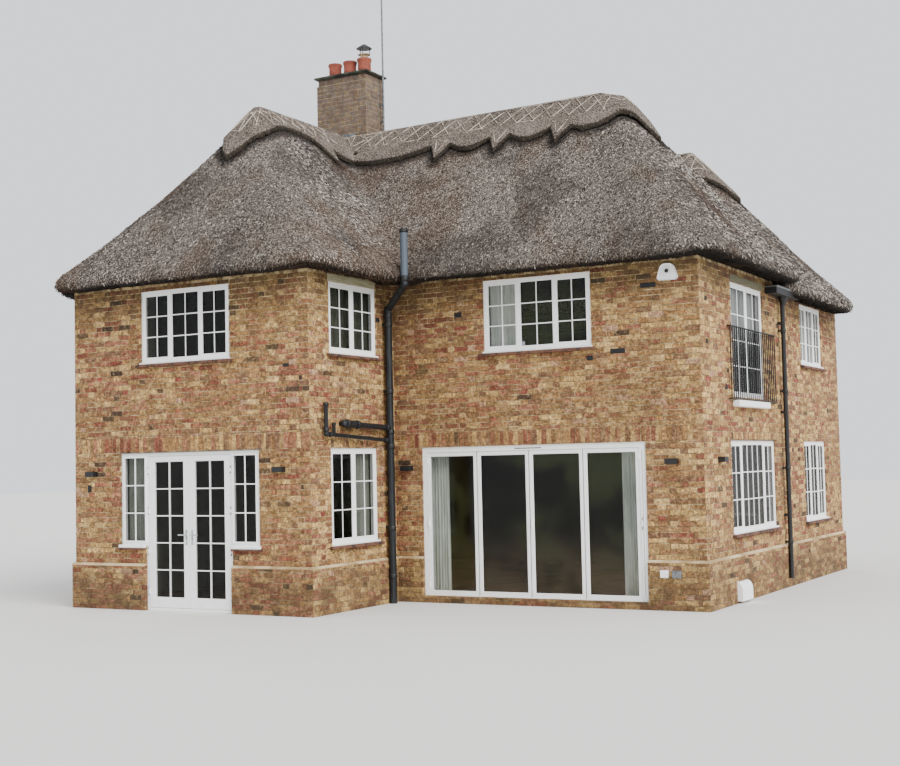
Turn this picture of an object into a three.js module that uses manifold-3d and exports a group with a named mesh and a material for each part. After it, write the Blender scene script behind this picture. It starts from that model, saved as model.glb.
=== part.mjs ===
// Thatched cottage in millimetres, +Z up.
// It is worked out in a house frame whose origin is the front right corner, at the level of the
// folding door's bottom: X runs right along the front walls, Y runs to the back.
// The last lines move it so that its origin is the middle of its base.
import * as THREE from 'three';
import Module from 'manifold-3d';
import { mergeVertices } from 'three/addons/utils/BufferGeometryUtils.js';

const wasm = await Module();
wasm.setup();

// Plan: a front range and a rear range side by side, and a wing across their left ends
const HOUSE_LEFT = -9140;
const WING_RIGHT = -4820;
const WING_FRONT = -2215;
const RANGE_SPLIT = 3770;
const HOUSE_BACK = 7440;
const WALL = 300;

// Levels
const GROUND = -100;
const FLOOR = -20;
const FIRST_FLOOR = 2740;
const FIRST_FLOOR_DEPTH = 270;
const WALL_TOP = 4660;
const PLINTH_TOP = 546;
const PLINTH_OUT = 40;

// Thatch: its eaves' nose as reaches from the wall and rises, and corners that lift a little
const EAVE_OUT = 490;
const EAVE = 4660;
const REAR_EAVE = 4470;
const LIP_OUT = 478;
const LIP_RISE = 95;
const NOSE = [[30, 0], [400, -60], [468, -35], [EAVE_OUT, 25], [LIP_OUT, LIP_RISE]];
const SHARP = 20;
const CORNER_LIFT = 70;
const RIDGE = 7515;
const RIDGE_SAG = 70;
const REAR_RIDGE = 7255;
const RIDGE_HALF = 70;
const WING_HIP_Y = -460;
const FRONT_HIP_X = -2000;
const REAR_HIP_X = -1950;
const REAR_WEST_X = -7150;
const WING_BACK_Y = 3300;
const WING_END = 5200;
const FRONT_RANGE_END = -7400;
const WING_DEPTH = 450;
const FRONT_DEPTH = 480;
const REAR_DEPTH = 440;
const LOFT_SIDE = 490;
const WING_RIDGE_X = -6980;
const FRONT_RIDGE_Y = RANGE_SPLIT / 2;
const REAR_RIDGE_Y = 5605;

// Ridge caps: a band whose edge hangs in points, with a scallop between each two
const CAP_RISE = 80;
const CAP_TURN = 450;
const CAP_POINT = 775;
const CAP_NOTCH = 530;
const CAP_SCALLOP = 650;
const NOTCH_FROM_POINT = 170;
const SCALLOP_STEPS = 8;
const MANY_BAYS = 9;
const CAP_PITCH = 1055;
const WING_END_REACH = [760, 550, 480, 410, 360, 350, 365, 415, 650];
const WING_END_LENGTH = 1877;
const RANGE_END_REACH = [850, 640, 545, 572, 605, 610, 550, 719];
const RANGE_END_LENGTH = 1277;

// Joinery stands a little back from the brick face
const RECESS = 20;
const FRAME = 58;
const FRAME_DEPTH = 70;
const BAR_DEPTH = 18;
const GLASS = 14;
const SEAT = 0.3;
const SWING_GAP = 5;

// French doors in the wing's front wall
const FRENCH_LEFT = -8233;
const FRENCH_RIGHT = -5689;
const FRENCH_TOP = 2180;
const FRENCH_FRAME = 45;
const SIDELIGHT_SILL = 837;
const SIDELIGHT = 478;
const LEAF_THICK = 44;
const LEAF_STILE = 98;
const LEAF_RAIL = 73;
const LEAF_KICK = 140;
const THRESHOLD = 40;
const KNUCKLE_RADIUS = 8;
const KNUCKLE_LENGTH = 45;
const HINGE_LEVELS = [180, 760, 1340, 1920];

// Folding door in the front range
const FOLD_LEFT = -4358;
const FOLD_RIGHT = -829;
const FOLD_TOP = 2175;
const FOLD_HEAD = 75;
const FOLD_JAMB = 68;
const FOLD_JAMB_RIGHT = 103;
const FOLD_STILE = 54;
const FOLD_SILL = 15;
const FOLD_DEPTH = 90;
const FOLD_LEAF = 60;
const FOLD_SET_BACK = 10;
const FOLD_REBATE = 14;
const FOLD_LEAVES = 4;

// Upper door and its railing
const UPPER_DOOR = { from: 1355, to: 2900, sill: 2793, head: 4447 };
const RAIL = { from: 1140, to: 3360, out: 42, low: 2762, high: 3795, bar: 14, tube: 36, pitch: 100 };

// Windows: the wall they are in, their opening along it, sill, head, and where their mullions stand
const THIRDS = [1 / 3, 2 / 3];
const HALVES = [1 / 2];
const QUARTERS = [1 / 4, 3 / 4];
const UPPER_SILL = 3445;
const UPPER_HEAD = 4447;
const LOWER_SILL = 850;
const LOWER_HEAD = 2180;
const WINDOWS = {
  wing_front_upper_window: { wall: 'wing_front', from: -7822, to: -6186, sill: 3503, head: 4560,
    mullions: THIRDS },
  front_upper_window: { wall: 'front', from: -3277, to: -1579, sill: 3534, head: 4576, mullions: THIRDS },
  wing_side_lower_window: { wall: 'wing_side', from: -1720, to: -508, sill: 839, head: 2183,
    mullions: HALVES },
  wing_side_upper_window: { wall: 'wing_side', from: -1718, to: -478, sill: 3529, head: 4534,
    mullions: HALVES },
  east_lower_window: { wall: 'east', from: 1165, to: 3325, sill: 867, head: 2171, mullions: QUARTERS },
  east_rear_lower_window: { wall: 'east', from: 5010, to: 6375, sill: 867, head: 2171, mullions: THIRDS },
  east_rear_upper_window: { wall: 'east', from: 5010, to: 6375, sill: UPPER_SILL, head: UPPER_HEAD,
    mullions: THIRDS },
  north_left_upper_window: { wall: 'north', from: -7800, to: -6100, sill: UPPER_SILL, head: UPPER_HEAD,
    mullions: THIRDS },
  north_right_upper_window: { wall: 'north', from: -3200, to: -1500, sill: UPPER_SILL, head: UPPER_HEAD,
    mullions: THIRDS },
  north_lower_window: { wall: 'north', from: -3200, to: -1500, sill: LOWER_SILL, head: LOWER_HEAD,
    mullions: THIRDS },
  west_upper_window: { wall: 'west', from: 2000, to: 3700, sill: 3500, head: 4550, mullions: THIRDS },
  west_lower_window: { wall: 'west', from: 2000, to: 3700, sill: LOWER_SILL, head: LOWER_HEAD,
    mullions: THIRDS },
};

// Chimney, standing through both floors
const STACK = { x0: -7490, x1: -6475, y0: 1980, y1: 2560, top: 8655, cap: 8700, capOut: 38 };
const CORBEL = { bottom: 8545, out: 18 };
const POTS = [
  { x: -7294, radius: 112, top: 9000 },
  { x: -6984, radius: 112, top: 9000 },
  { x: -6687, radius: 118, top: 9060 },
];
const POT_WALL = 26;
const FLAUNCHING = 40;
const COWL_TOP = 9240;
const HOOD_HEIGHT = 75;
const MAST = { x: -6394, y: 2400, radius: 16, foot: 7700, top: 10300 };

// Pipes
const SOIL_PIPE = { x: -4722, y: -290, radius: 55, bend: 4240 };
const VENT_PIPE = { x: -4262, y: -560, foot: 4560, top: 5370 };
const DOWNPIPE = { x: 84, y: 3720, radius: 36, top: 4300, foot: 40 };
const HOPPER = { from: 3060, to: 4300, out: 190, bottom: 4430, top: 4545 };

// Finishes
const paint = (colour, roughness, metalness = 0) =>
  new THREE.MeshStandardMaterial({ color: colour, roughness, metalness });
const BRICK = paint(0x9a7450, 0.9);
const FLOOR_FINISH = paint(0x8d8579, 0.85);
const THATCH = paint(0x7f756a, 0.95);
const RIDGE_THATCH = paint(0x877a6a, 0.95);
const WHITE = paint(0xe9e9e4, 0.45);
const GLAZING = paint(0x4a5557, 0.08);
const BLACK = paint(0x202225, 0.5);
const LEAD_GREY = paint(0x55595c, 0.6);
const CEMENT = paint(0x4a4843, 0.85);
const TERRACOTTA = paint(0xa8583c, 0.85);
const STEEL = paint(0x8a8c8d, 0.4, 0.8);

const house = new THREE.Group();

// A closed three.js geometry as a solid that can be joined and cut
function solidOf(geometry) {
  const bare = geometry.clone();
  bare.deleteAttribute('normal');
  bare.deleteAttribute('uv');
  const merged = mergeVertices(bare, 1e-4);
  return new wasm.Manifold(new wasm.Mesh({
    numProp: 3,
    vertProperties: new Float32Array(merged.attributes.position.array),
    triVerts: new Uint32Array(merged.index.array),
  }));
}

function geometryOf(solid) {
  const mesh = solid.getMesh();
  const geometry = new THREE.BufferGeometry();
  geometry.setAttribute('position', new THREE.BufferAttribute(new Float32Array(mesh.vertProperties), 3));
  geometry.setIndex(new THREE.BufferAttribute(new Uint32Array(mesh.triVerts), 1));
  geometry.computeVertexNormals();
  return geometry;
}

function piece(name, solid, material) {
  const mesh = new THREE.Mesh(geometryOf(solid), material);
  mesh.name = name;
  house.add(mesh);
}

function block(x0, x1, y0, y1, z0, z1) {
  const geometry = new THREE.BoxGeometry(x1 - x0, y1 - y0, z1 - z0);
  geometry.translate((x0 + x1) / 2, (y0 + y1) / 2, (z0 + z1) / 2);
  return solidOf(geometry);
}

const joined = (solids) => solids.reduce((sum, solid) => sum.add(solid));
const without = (solid, cuts) => cuts.reduce((rest, cut) => rest.subtract(cut), solid);

function upright(x, y, z0, z1, radius, sides = 12, topRadius = radius) {
  const geometry = new THREE.CylinderGeometry(topRadius, radius, z1 - z0, sides);
  geometry.rotateX(Math.PI / 2);
  geometry.translate(x, y, (z0 + z1) / 2);
  return solidOf(geometry);
}

// A plan outline raised between two levels
function raised(points, z0, z1) {
  const depth = z1 - z0;
  const geometry = new THREE.ExtrudeGeometry(new THREE.Shape(points), { depth, bevelEnabled: false });
  geometry.translate(0, 0, z0);
  return solidOf(geometry);
}

// Each wall's opening is a block given along the wall; out is towards the weather
const WALLS = {
  wing_front: { face: WING_FRONT, along: 'x', inward: 1 },
  front: { face: 0, along: 'x', inward: 1 },
  north: { face: HOUSE_BACK, along: 'x', inward: -1 },
  wing_side: { face: WING_RIGHT, along: 'y', inward: -1 },
  east: { face: 0, along: 'y', inward: -1 },
  west: { face: HOUSE_LEFT, along: 'y', inward: 1 },
};

// A block in a wall, from depth near to depth far behind the wall's outer face
function inWall(wallName, from, to, near, far, z0, z1) {
  const { face, along, inward } = WALLS[wallName];
  const a = face + inward * near;
  const b = face + inward * far;
  const low = Math.min(a, b);
  const high = Math.max(a, b);
  return along === 'x' ? block(from, to, low, high, z0, z1) : block(low, high, from, to, z0, z1);
}

const hole = (wallName, from, to, z0, z1) => inWall(wallName, from, to, -200, WALL + 100, z0, z1);
const windowHoles = (wallName) => Object.values(WINDOWS)
  .filter((w) => w.wall === wallName)
  .map((w) => hole(w.wall, w.from, w.to, w.sill, w.head));

function walls() {
  const frenchHoles = [
    hole('wing_front', FRENCH_LEFT, FRENCH_RIGHT, SIDELIGHT_SILL, FRENCH_TOP),
    hole('wing_front', FRENCH_LEFT + SIDELIGHT, FRENCH_RIGHT - SIDELIGHT, GROUND - 50, FRENCH_TOP),
  ];
  const wingFront = without(joined([
    block(HOUSE_LEFT, WING_RIGHT, WING_FRONT, WING_FRONT + WALL, GROUND, WALL_TOP),
    block(HOUSE_LEFT - PLINTH_OUT, WING_RIGHT + PLINTH_OUT, WING_FRONT - PLINTH_OUT, WING_FRONT + WALL,
      GROUND, PLINTH_TOP),
  ]), [...frenchHoles, ...windowHoles('wing_front')]);
  const middle = (FRENCH_LEFT + FRENCH_RIGHT) / 2;
  const far = 20000;
  const belowHead = (x0, x1) => wingFront.intersect(block(x0, x1, -far, far, -far, FRENCH_TOP));
  piece('wing_front_wall_left', belowHead(-far, middle), BRICK);
  piece('wing_front_wall_right', belowHead(middle, far), BRICK);
  piece('wing_front_wall_upper', wingFront.intersect(block(-far, far, -far, far, FRENCH_TOP, far)), BRICK);

  piece('wing_side_wall', without(joined([
    block(WING_RIGHT - WALL, WING_RIGHT, WING_FRONT + WALL, WALL, GROUND, WALL_TOP),
    block(WING_RIGHT - WALL, WING_RIGHT + PLINTH_OUT, WING_FRONT + WALL, 0, GROUND, PLINTH_TOP),
  ]), windowHoles('wing_side')), BRICK);

  piece('front_wall', without(joined([
    block(WING_RIGHT, 0, 0, WALL, GROUND, WALL_TOP),
    block(WING_RIGHT + PLINTH_OUT, PLINTH_OUT, -PLINTH_OUT, WALL, GROUND, PLINTH_TOP),
  ]), [hole('front', FOLD_LEFT, FOLD_RIGHT, 0, FOLD_TOP), ...windowHoles('front')]), BRICK);

  piece('east_wall', without(joined([
    block(-WALL, 0, WALL, HOUSE_BACK - WALL, GROUND, WALL_TOP),
    block(-WALL, PLINTH_OUT, WALL, HOUSE_BACK - WALL, GROUND, PLINTH_TOP),
  ]), [hole('east', UPPER_DOOR.from, UPPER_DOOR.to, UPPER_DOOR.sill, UPPER_DOOR.head),
    ...windowHoles('east')]), BRICK);

  piece('north_wall', without(joined([
    block(HOUSE_LEFT, 0, HOUSE_BACK - WALL, HOUSE_BACK, GROUND, WALL_TOP),
    block(HOUSE_LEFT - PLINTH_OUT, PLINTH_OUT, HOUSE_BACK - WALL, HOUSE_BACK + PLINTH_OUT,
      GROUND, PLINTH_TOP),
  ]), windowHoles('north')), BRICK);

  piece('west_wall', without(joined([
    block(HOUSE_LEFT, HOUSE_LEFT + WALL, WING_FRONT + WALL, HOUSE_BACK - WALL, GROUND, WALL_TOP),
    block(HOUSE_LEFT - PLINTH_OUT, HOUSE_LEFT + WALL, WING_FRONT + WALL, HOUSE_BACK - WALL,
      GROUND, PLINTH_TOP),
  ]), windowHoles('west')), BRICK);
}

// The plan inside the walls, less a gap to them
function inside(gap, z0, z1) {
  return joined([
    block(HOUSE_LEFT + WALL + gap, -WALL - gap, WALL + gap, HOUSE_BACK - WALL - gap, z0, z1),
    block(HOUSE_LEFT + WALL + gap, WING_RIGHT - WALL - gap, WING_FRONT + WALL + gap, WALL + 100, z0, z1),
  ]);
}

function floors() {
  piece('ground_floor', inside(SEAT, GROUND, FLOOR), FLOOR_FINISH);
  const flue = block(STACK.x0 - SEAT, STACK.x1 + SEAT, STACK.y0 - SEAT, STACK.y1 + SEAT, GROUND, RIDGE);
  const upper = inside(SEAT, FIRST_FLOOR - FIRST_FLOOR_DEPTH, FIRST_FLOOR).subtract(flue);
  piece('first_floor', upper, FLOOR_FINISH);
}

// A rounded rectangle as a ring of points, anticlockwise from above, whose corners may lift.
// Each long side has one more point, a share of its length from its right end.
const CORNER_STEPS = 6;
const KNEE = 0.055;
function roundedRing(x0, x1, y0, y1, radius, z, lift = 0) {
  const r = Math.min(radius, 0.45 * (x1 - x0), 0.45 * (y1 - y0));
  const centres = [[x1 - r, y1 - r], [x0 + r, y1 - r], [x0 + r, y0 + r], [x1 - r, y0 + r]];
  const kneeX = x1 - r - KNEE * (x1 - x0 - 2 * r);
  const ring = [];
  centres.forEach(([cx, cy], corner) => {
    for (let step = 0; step <= CORNER_STEPS; step += 1) {
      const turn = step / CORNER_STEPS;
      const angle = (corner + turn) * Math.PI / 2;
      ring.push(new THREE.Vector3(cx + r * Math.cos(angle), cy + r * Math.sin(angle),
        z + lift * Math.sin(Math.PI * turn)));
    }
    if (corner % 2 === 0) {
      ring.push(new THREE.Vector3(kneeX, corner === 0 ? y1 : y0, z));
    }
  });
  return ring;
}

// A closed solid through rings of equal count, lowest first
function lofted(rings) {
  const count = rings[0].length;
  const positions = [];
  const indices = [];
  rings.forEach((ring) => ring.forEach((p) => positions.push(p.x, p.y, p.z)));
  for (let k = 0; k + 1 < rings.length; k += 1) {
    for (let i = 0; i < count; i += 1) {
      const j = (i + 1) % count;
      const a = k * count + i;
      const b = k * count + j;
      indices.push(a, b, b + count, a, b + count, a + count);
    }
  }
  const last = (rings.length - 1) * count;
  for (let i = 0; i < count / 2 - 1; i += 1) {
    const across = count - 1 - i;
    indices.push(i, across, i + 1, across, across - 1, i + 1);
    indices.push(last + i, last + i + 1, last + across, last + across, last + i + 1, last + across - 1);
  }
  const geometry = new THREE.BufferGeometry();
  geometry.setAttribute('position', new THREE.Float32BufferAttribute(positions, 3));
  geometry.setIndex(indices);
  return solidOf(geometry);
}

// Each hipped range: the wall rectangle, the ridge rectangle and its level, how far the ridge sags to
// the left, how round its corners and hips are, how far its slopes bow, how far the hip under its right
// end swells, and how far the ridge drops there
const RANGES = {
  wing: { x0: HOUSE_LEFT, x1: WING_RIGHT, y0: WING_FRONT, y1: WING_END, eave: EAVE, ridge: RIDGE,
    depth: WING_DEPTH, rx0: WING_RIDGE_X - RIDGE_HALF, rx1: WING_RIDGE_X + RIDGE_HALF, ry0: WING_HIP_Y,
    ry1: WING_BACK_Y, sag: 0, corner: 950, hip: 420, bow: 0, swell: 0, drop: 0 },
  front: { x0: FRONT_RANGE_END, x1: 0, y0: 0, y1: RANGE_SPLIT, eave: EAVE, ridge: RIDGE, depth: FRONT_DEPTH,
    rx0: WING_RIDGE_X, rx1: FRONT_HIP_X, ry0: FRONT_RIDGE_Y - RIDGE_HALF, ry1: FRONT_RIDGE_Y + RIDGE_HALF,
    sag: RIDGE_SAG, corner: 950, hip: 150, bow: 45, swell: 250, drop: 95 },
  rear: { x0: HOUSE_LEFT, x1: 0, y0: RANGE_SPLIT, y1: HOUSE_BACK, eave: REAR_EAVE, ridge: REAR_RIDGE,
    depth: REAR_DEPTH, rx0: REAR_WEST_X, rx1: REAR_HIP_X, ry0: REAR_RIDGE_Y - RIDGE_HALF,
    ry1: REAR_RIDGE_Y + RIDGE_HALF, sag: 0, corner: 1350, hip: 560, bow: 0, swell: 0,
    drop: 0 },
};

// The outer form of a thatched range, grown outwards by an amount
const SLOPE_STEPS = [0.25, 0.5, 0.75, 0.92, 1];
function thatchForm(range, grow = 0) {
  const { x0, x1, y0, y1, eave, ridge, rx0, rx1, ry0, ry1, sag, corner, hip, bow, swell, drop } = range;
  const cornerAt = (reach) => SHARP + (corner - SHARP) * reach / LIP_OUT;
  const rings = NOSE.map(([reach, rise]) => roundedRing(x0 - reach - grow, x1 + reach + grow,
    y0 - reach - grow, y1 + reach + grow, cornerAt(reach), eave + rise, CORNER_LIFT));
  SLOPE_STEPS.forEach((t) => {
    const mix = (low, high) => low + (high - low) * t;
    const hump = 4 * t * (1 - t);
    const ring = roundedRing(mix(x0 - LIP_OUT - grow, rx0), mix(x1 + LIP_OUT + grow, rx1) + swell * t ** 4,
      mix(y0 - LIP_OUT - grow, ry0), mix(y1 + LIP_OUT + grow, ry1), mix(corner, RIDGE_HALF) + hip * hump,
      mix(eave + LIP_RISE, ridge) + bow * hump + grow, CORNER_LIFT * (1 - t));
    ring.forEach((p) => {
      const left = THREE.MathUtils.clamp((rx1 - p.x) / (rx1 - rx0), 0, 1);
      p.z -= t * sag * left;
      if (t === 1 && p.x > rx1) {
        p.z -= drop;
      }
    });
    rings.push(ring);
  });
  return lofted(rings);
}

// The loft under a range
function loftForm(range) {
  const { x0, x1, y0, y1, ridge, depth, rx0, rx1, ry0, ry1 } = range;
  const ring = (ax, bx, ay, by, z) => [[bx, by], [ax, by], [ax, ay], [bx, ay]]
    .map(([x, y]) => new THREE.Vector3(x, y, z));
  const side = (z) => ring(x0 + WALL, x1 - WALL, y0 + WALL, y1 - WALL, z);
  return lofted([side(WALL_TOP - 300), side(WALL_TOP + LOFT_SIDE), ring(rx0, rx1, ry0, ry1, ridge - depth)]);
}

// How far a cap's edge stands from the ridge, at a distance round the cap from its hip end's point.
// The end bay has reaches of its own, then come bays of one pitch, then one long scallop.
function capReach(s, endReach, endLength, bays) {
  if (s < endLength) {
    const place = s / endLength * (endReach.length - 1);
    const i = Math.floor(place);
    return endReach[i] + (endReach[i + 1] - endReach[i]) * (place - i);
  }
  const count = Math.floor((s - endLength) / CAP_PITCH);
  const start = endLength + Math.min(count, bays) * CAP_PITCH;
  const length = count < bays ? CAP_PITCH : 2 * CAP_PITCH;
  const fromPoint = s - start;
  const toPoint = Math.min(fromPoint, length - fromPoint);
  if (toPoint < NOTCH_FROM_POINT) {
    return CAP_POINT + (CAP_NOTCH - CAP_POINT) * toPoint / NOTCH_FROM_POINT;
  }
  const along = (fromPoint - NOTCH_FROM_POINT) / (length - 2 * NOTCH_FROM_POINT);
  return CAP_NOTCH + (CAP_SCALLOP - CAP_NOTCH) * Math.sin(Math.PI * along);
}

// The plan of a ridge cap from its hip end back along both sides of the ridge
function capPlan({ alongX, from, to, across, endReach, endLength, bays, grow = 0 }) {
  const points = [];
  const quarter = Math.PI / 2 * CAP_TURN;
  const total = to - from + quarter;
  const stops = [];
  const endSteps = 2 * (endReach.length - 1);
  for (let i = 0; i < endSteps; i += 1) {
    stops.push(endLength * i / endSteps);
  }
  for (let start = endLength; start < total; start += CAP_PITCH) {
    const inner = CAP_PITCH - 2 * NOTCH_FROM_POINT;
    stops.push(start);
    for (let i = 0; i <= SCALLOP_STEPS; i += 1) {
      stops.push(start + NOTCH_FROM_POINT + inner * i / SCALLOP_STEPS);
    }
  }
  stops.filter((s) => s < total - 1).concat(total).forEach((s) => {
    const reach = grow + capReach(s, endReach, endLength, bays);
    if (s < quarter) {
      const angle = s / CAP_TURN;
      points.push([to + reach * Math.cos(angle), reach * Math.sin(angle)]);
    } else {
      points.push([to - (s - quarter), reach]);
    }
  });
  const mirrored = points.slice(1).reverse().map(([u, v]) => [u, -v]);
  return [...points, ...mirrored].map(([u, v]) => (alongX
    ? new THREE.Vector2(u, across + v)
    : new THREE.Vector2(across - v, u)));
}

function roof() {
  const forms = Object.values(RANGES).map((range) => thatchForm(range));
  const lofts = Object.values(RANGES).map((range) => loftForm(range));
  const flue = block(STACK.x0 - SEAT, STACK.x1 + SEAT, STACK.y0 - SEAT, STACK.y1 + SEAT, GROUND, 9000);
  const wallHeads = [
    block(HOUSE_LEFT, WING_RIGHT, WING_FRONT, HOUSE_BACK, GROUND, WALL_TOP),
    block(WING_RIGHT - WALL, 0, 0, HOUSE_BACK, GROUND, WALL_TOP),
  ];
  const hopperSpace = block(-WALL, HOPPER.out + SEAT, HOPPER.from - SEAT, HOPPER.to + SEAT,
    DOWNPIPE.top, HOPPER.top + SEAT);
  const thatch = without(joined(forms), [...lofts, ...wallHeads, flue, hopperSpace]);
  const far = 20000;
  const split = WING_RIGHT + EAVE_OUT + 40;
  piece('thatch_wing', thatch.intersect(block(-far, split, -far, far, -far, far)), THATCH);
  piece('thatch_front_range', thatch.intersect(block(split, far, -far, RANGE_SPLIT, -far, far)), THATCH);
  piece('thatch_rear_range', thatch.intersect(block(split, far, RANGE_SPLIT, far, -far, far)), THATCH);

  const bed = joined(Object.values(RANGES).map((range) => thatchForm(range, SEAT)));
  const skin = joined(Object.values(RANGES).map((range) => thatchForm(range, CAP_RISE)));
  const cover = skin.subtract(bed).subtract(flue);
  const band = (points) => raised(points, EAVE, RIDGE + 500);
  // The first end given stands at the greater coordinate
  const twoEnded = (end, farEnd = end) => {
    const middle = (end.from + end.to) / 2;
    const half = capPlan({ ...end, from: middle - 10 });
    const other = capPlan({ ...farEnd, from: middle - 10 });
    const flip = (p) => (end.alongX
      ? new THREE.Vector2(2 * middle - p.x, p.y)
      : new THREE.Vector2(p.x, 2 * middle - p.y));
    return band(half).add(band(other.map(flip).reverse()));
  };
  const plainEnd = { endReach: RANGE_END_REACH, endLength: RANGE_END_LENGTH, bays: MANY_BAYS };
  const frontEnd = { ...plainEnd, alongX: true, from: WING_RIDGE_X, to: FRONT_HIP_X,
    across: FRONT_RIDGE_Y, bays: 2 };
  const rearEnd = { ...plainEnd, alongX: true, from: REAR_WEST_X, to: REAR_HIP_X, across: REAR_RIDGE_Y };
  const wingRear = { ...plainEnd, alongX: false, from: WING_HIP_Y, to: WING_BACK_Y, across: WING_RIDGE_X };
  const wingFront = { ...wingRear, endReach: WING_END_REACH, endLength: WING_END_LENGTH };
  const capSplit = WING_RIDGE_X + CAP_SCALLOP;
  const rightOf = (x) => block(x, far, -far, far, -far, far);
  const frontBed = band(capPlan({ ...frontEnd, grow: SEAT }));
  const wing = twoEnded(wingRear, wingFront).subtract(rightOf(capSplit).intersect(frontBed));
  const front = band(capPlan(frontEnd)).intersect(rightOf(capSplit + SEAT));
  const rear = twoEnded(rearEnd);
  piece('ridge_cap_wing', cover.intersect(wing), RIDGE_THATCH);
  piece('ridge_cap_front_range', cover.intersect(front), RIDGE_THATCH);
  piece('ridge_cap_rear_range', cover.intersect(rear), RIDGE_THATCH);
}

function chimney() {
  const { x0, x1, y0, y1, top, cap, capOut } = STACK;
  const around = (out, z0, z1) => block(x0 - out, x1 + out, y0 - out, y1 + out, z0, z1);
  piece('chimney_stack', joined([around(0, FLOOR, top), around(CORBEL.out, CORBEL.bottom, top)]), BRICK);
  const middle = (y0 + y1) / 2;
  piece('chimney_cap', around(capOut, top, cap), CEMENT);
  const bed = block(x0 + 20, x1 - 20, y0 + 120, y1 - 120, cap, cap + FLAUNCHING);
  const pots = POTS.map(({ x, radius, top: rim }) => {
    const profile = [
      [0, cap + 5], [radius, cap + 5], [radius - 8, rim - 60], [radius + 10, rim - 50], [radius + 10, rim],
      [radius - POT_WALL, rim], [radius - POT_WALL, cap + FLAUNCHING], [0, cap + FLAUNCHING],
    ].map(([r, z]) => new THREE.Vector2(r, z));
    const geometry = new THREE.LatheGeometry(profile, 14);
    geometry.rotateX(Math.PI / 2);
    geometry.translate(x, middle, 0);
    return solidOf(geometry);
  });
  piece('chimney_pots', joined([bed, ...pots]), TERRACOTTA);
  const pot = POTS[2];
  const legs = [45, 165, 285].map((degrees) => {
    const angle = degrees * Math.PI / 180;
    const ring = pot.radius - 20;
    const x = pot.x + ring * Math.cos(angle);
    return upright(x, middle + ring * Math.sin(angle), pot.top, COWL_TOP - HOOD_HEIGHT + 5, 7, 6);
  });
  const hood = upright(pot.x, middle, COWL_TOP - HOOD_HEIGHT, COWL_TOP, 140, 16, 30);
  piece('chimney_cowl', joined([hood, ...legs]), STEEL);

  const mast = upright(MAST.x, MAST.y, MAST.foot, MAST.top, MAST.radius, 8);
  const clamps = [7850, 8150].map((z) => block(x1, MAST.x, MAST.y - 12, MAST.y + 12, z, z + 30));
  piece('aerial_mast', joined([mast, ...clamps]), STEEL);
}

// A window's frame with its mullions
function windowFrame(name, { wall: wallName, from, to, sill, head, mullions }) {
  const near = RECESS;
  const far = near + FRAME_DEPTH;
  const bars = [
    inWall(wallName, from, from + FRAME, near, far, sill, head),
    inWall(wallName, to - FRAME, to, near, far, sill, head),
    inWall(wallName, from, to, near, far, sill, sill + FRAME),
    inWall(wallName, from, to, near, far, head - FRAME, head),
  ];
  mullions.forEach((place) => {
    const middle = from + (to - from) * place;
    bars.push(inWall(wallName, middle - FRAME / 2, middle + FRAME / 2, near, near + BAR_DEPTH,
      sill + FRAME / 2, head - FRAME / 2));
  });
  piece(name, joined(bars), WHITE);
}

// A window's pane, one sheet behind its mullions
function pane(name, { wall: wallName, from, to, sill, head }) {
  const gap = FRAME + SEAT;
  const near = RECESS + BAR_DEPTH + SEAT;
  piece(name, inWall(wallName, from + gap, to - gap, near, near + GLASS, sill + gap, head - gap), GLAZING);
}

function windows() {
  Object.entries(WINDOWS).forEach(([name, data]) => {
    windowFrame(name, data);
    pane(name.replace('window', 'glass'), data);
  });
  const door = { wall: 'east', mullions: HALVES, ...UPPER_DOOR };
  windowFrame('upper_door', door);
  pane('upper_door_glass', door);
}

// The flat railing in front of the upper door, on four brackets
function railing() {
  const { from, to, out, low, high, bar, tube, pitch } = RAIL;
  const rail = (z) => block(out - tube / 2, out + tube / 2, from, to, z - bar / 2, z + bar / 2);
  const parts = [rail(low), rail(high)];
  const gaps = Math.round((to - from - tube) / pitch);
  for (let i = 0; i <= gaps; i += 1) {
    const y = from + tube / 2 + (to - from - tube) * i / gaps;
    parts.push(block(out - bar / 2, out + bar / 2, y - bar / 2, y + bar / 2, low, high));
  }
  [low, high].forEach((z) => [from, to - tube].forEach((y) => {
    parts.push(block(SEAT, out, y, y + tube, z - bar, z + bar / 2));
  }));
  piece('upper_door_railing', joined(parts), BLACK);
}

// The fixed frame round the French doors: sidelights, jambs, head and threshold
const DOOR_LEFT = FRENCH_LEFT + SIDELIGHT;
const DOOR_RIGHT = FRENCH_RIGHT - SIDELIGHT;
const LEAF_SPACE = {
  x0: DOOR_LEFT + FRENCH_FRAME,
  x1: DOOR_RIGHT - FRENCH_FRAME,
  z0: GROUND + THRESHOLD,
  z1: FRENCH_TOP - FRENCH_FRAME,
};
const FACE = WING_FRONT + RECESS;

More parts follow.
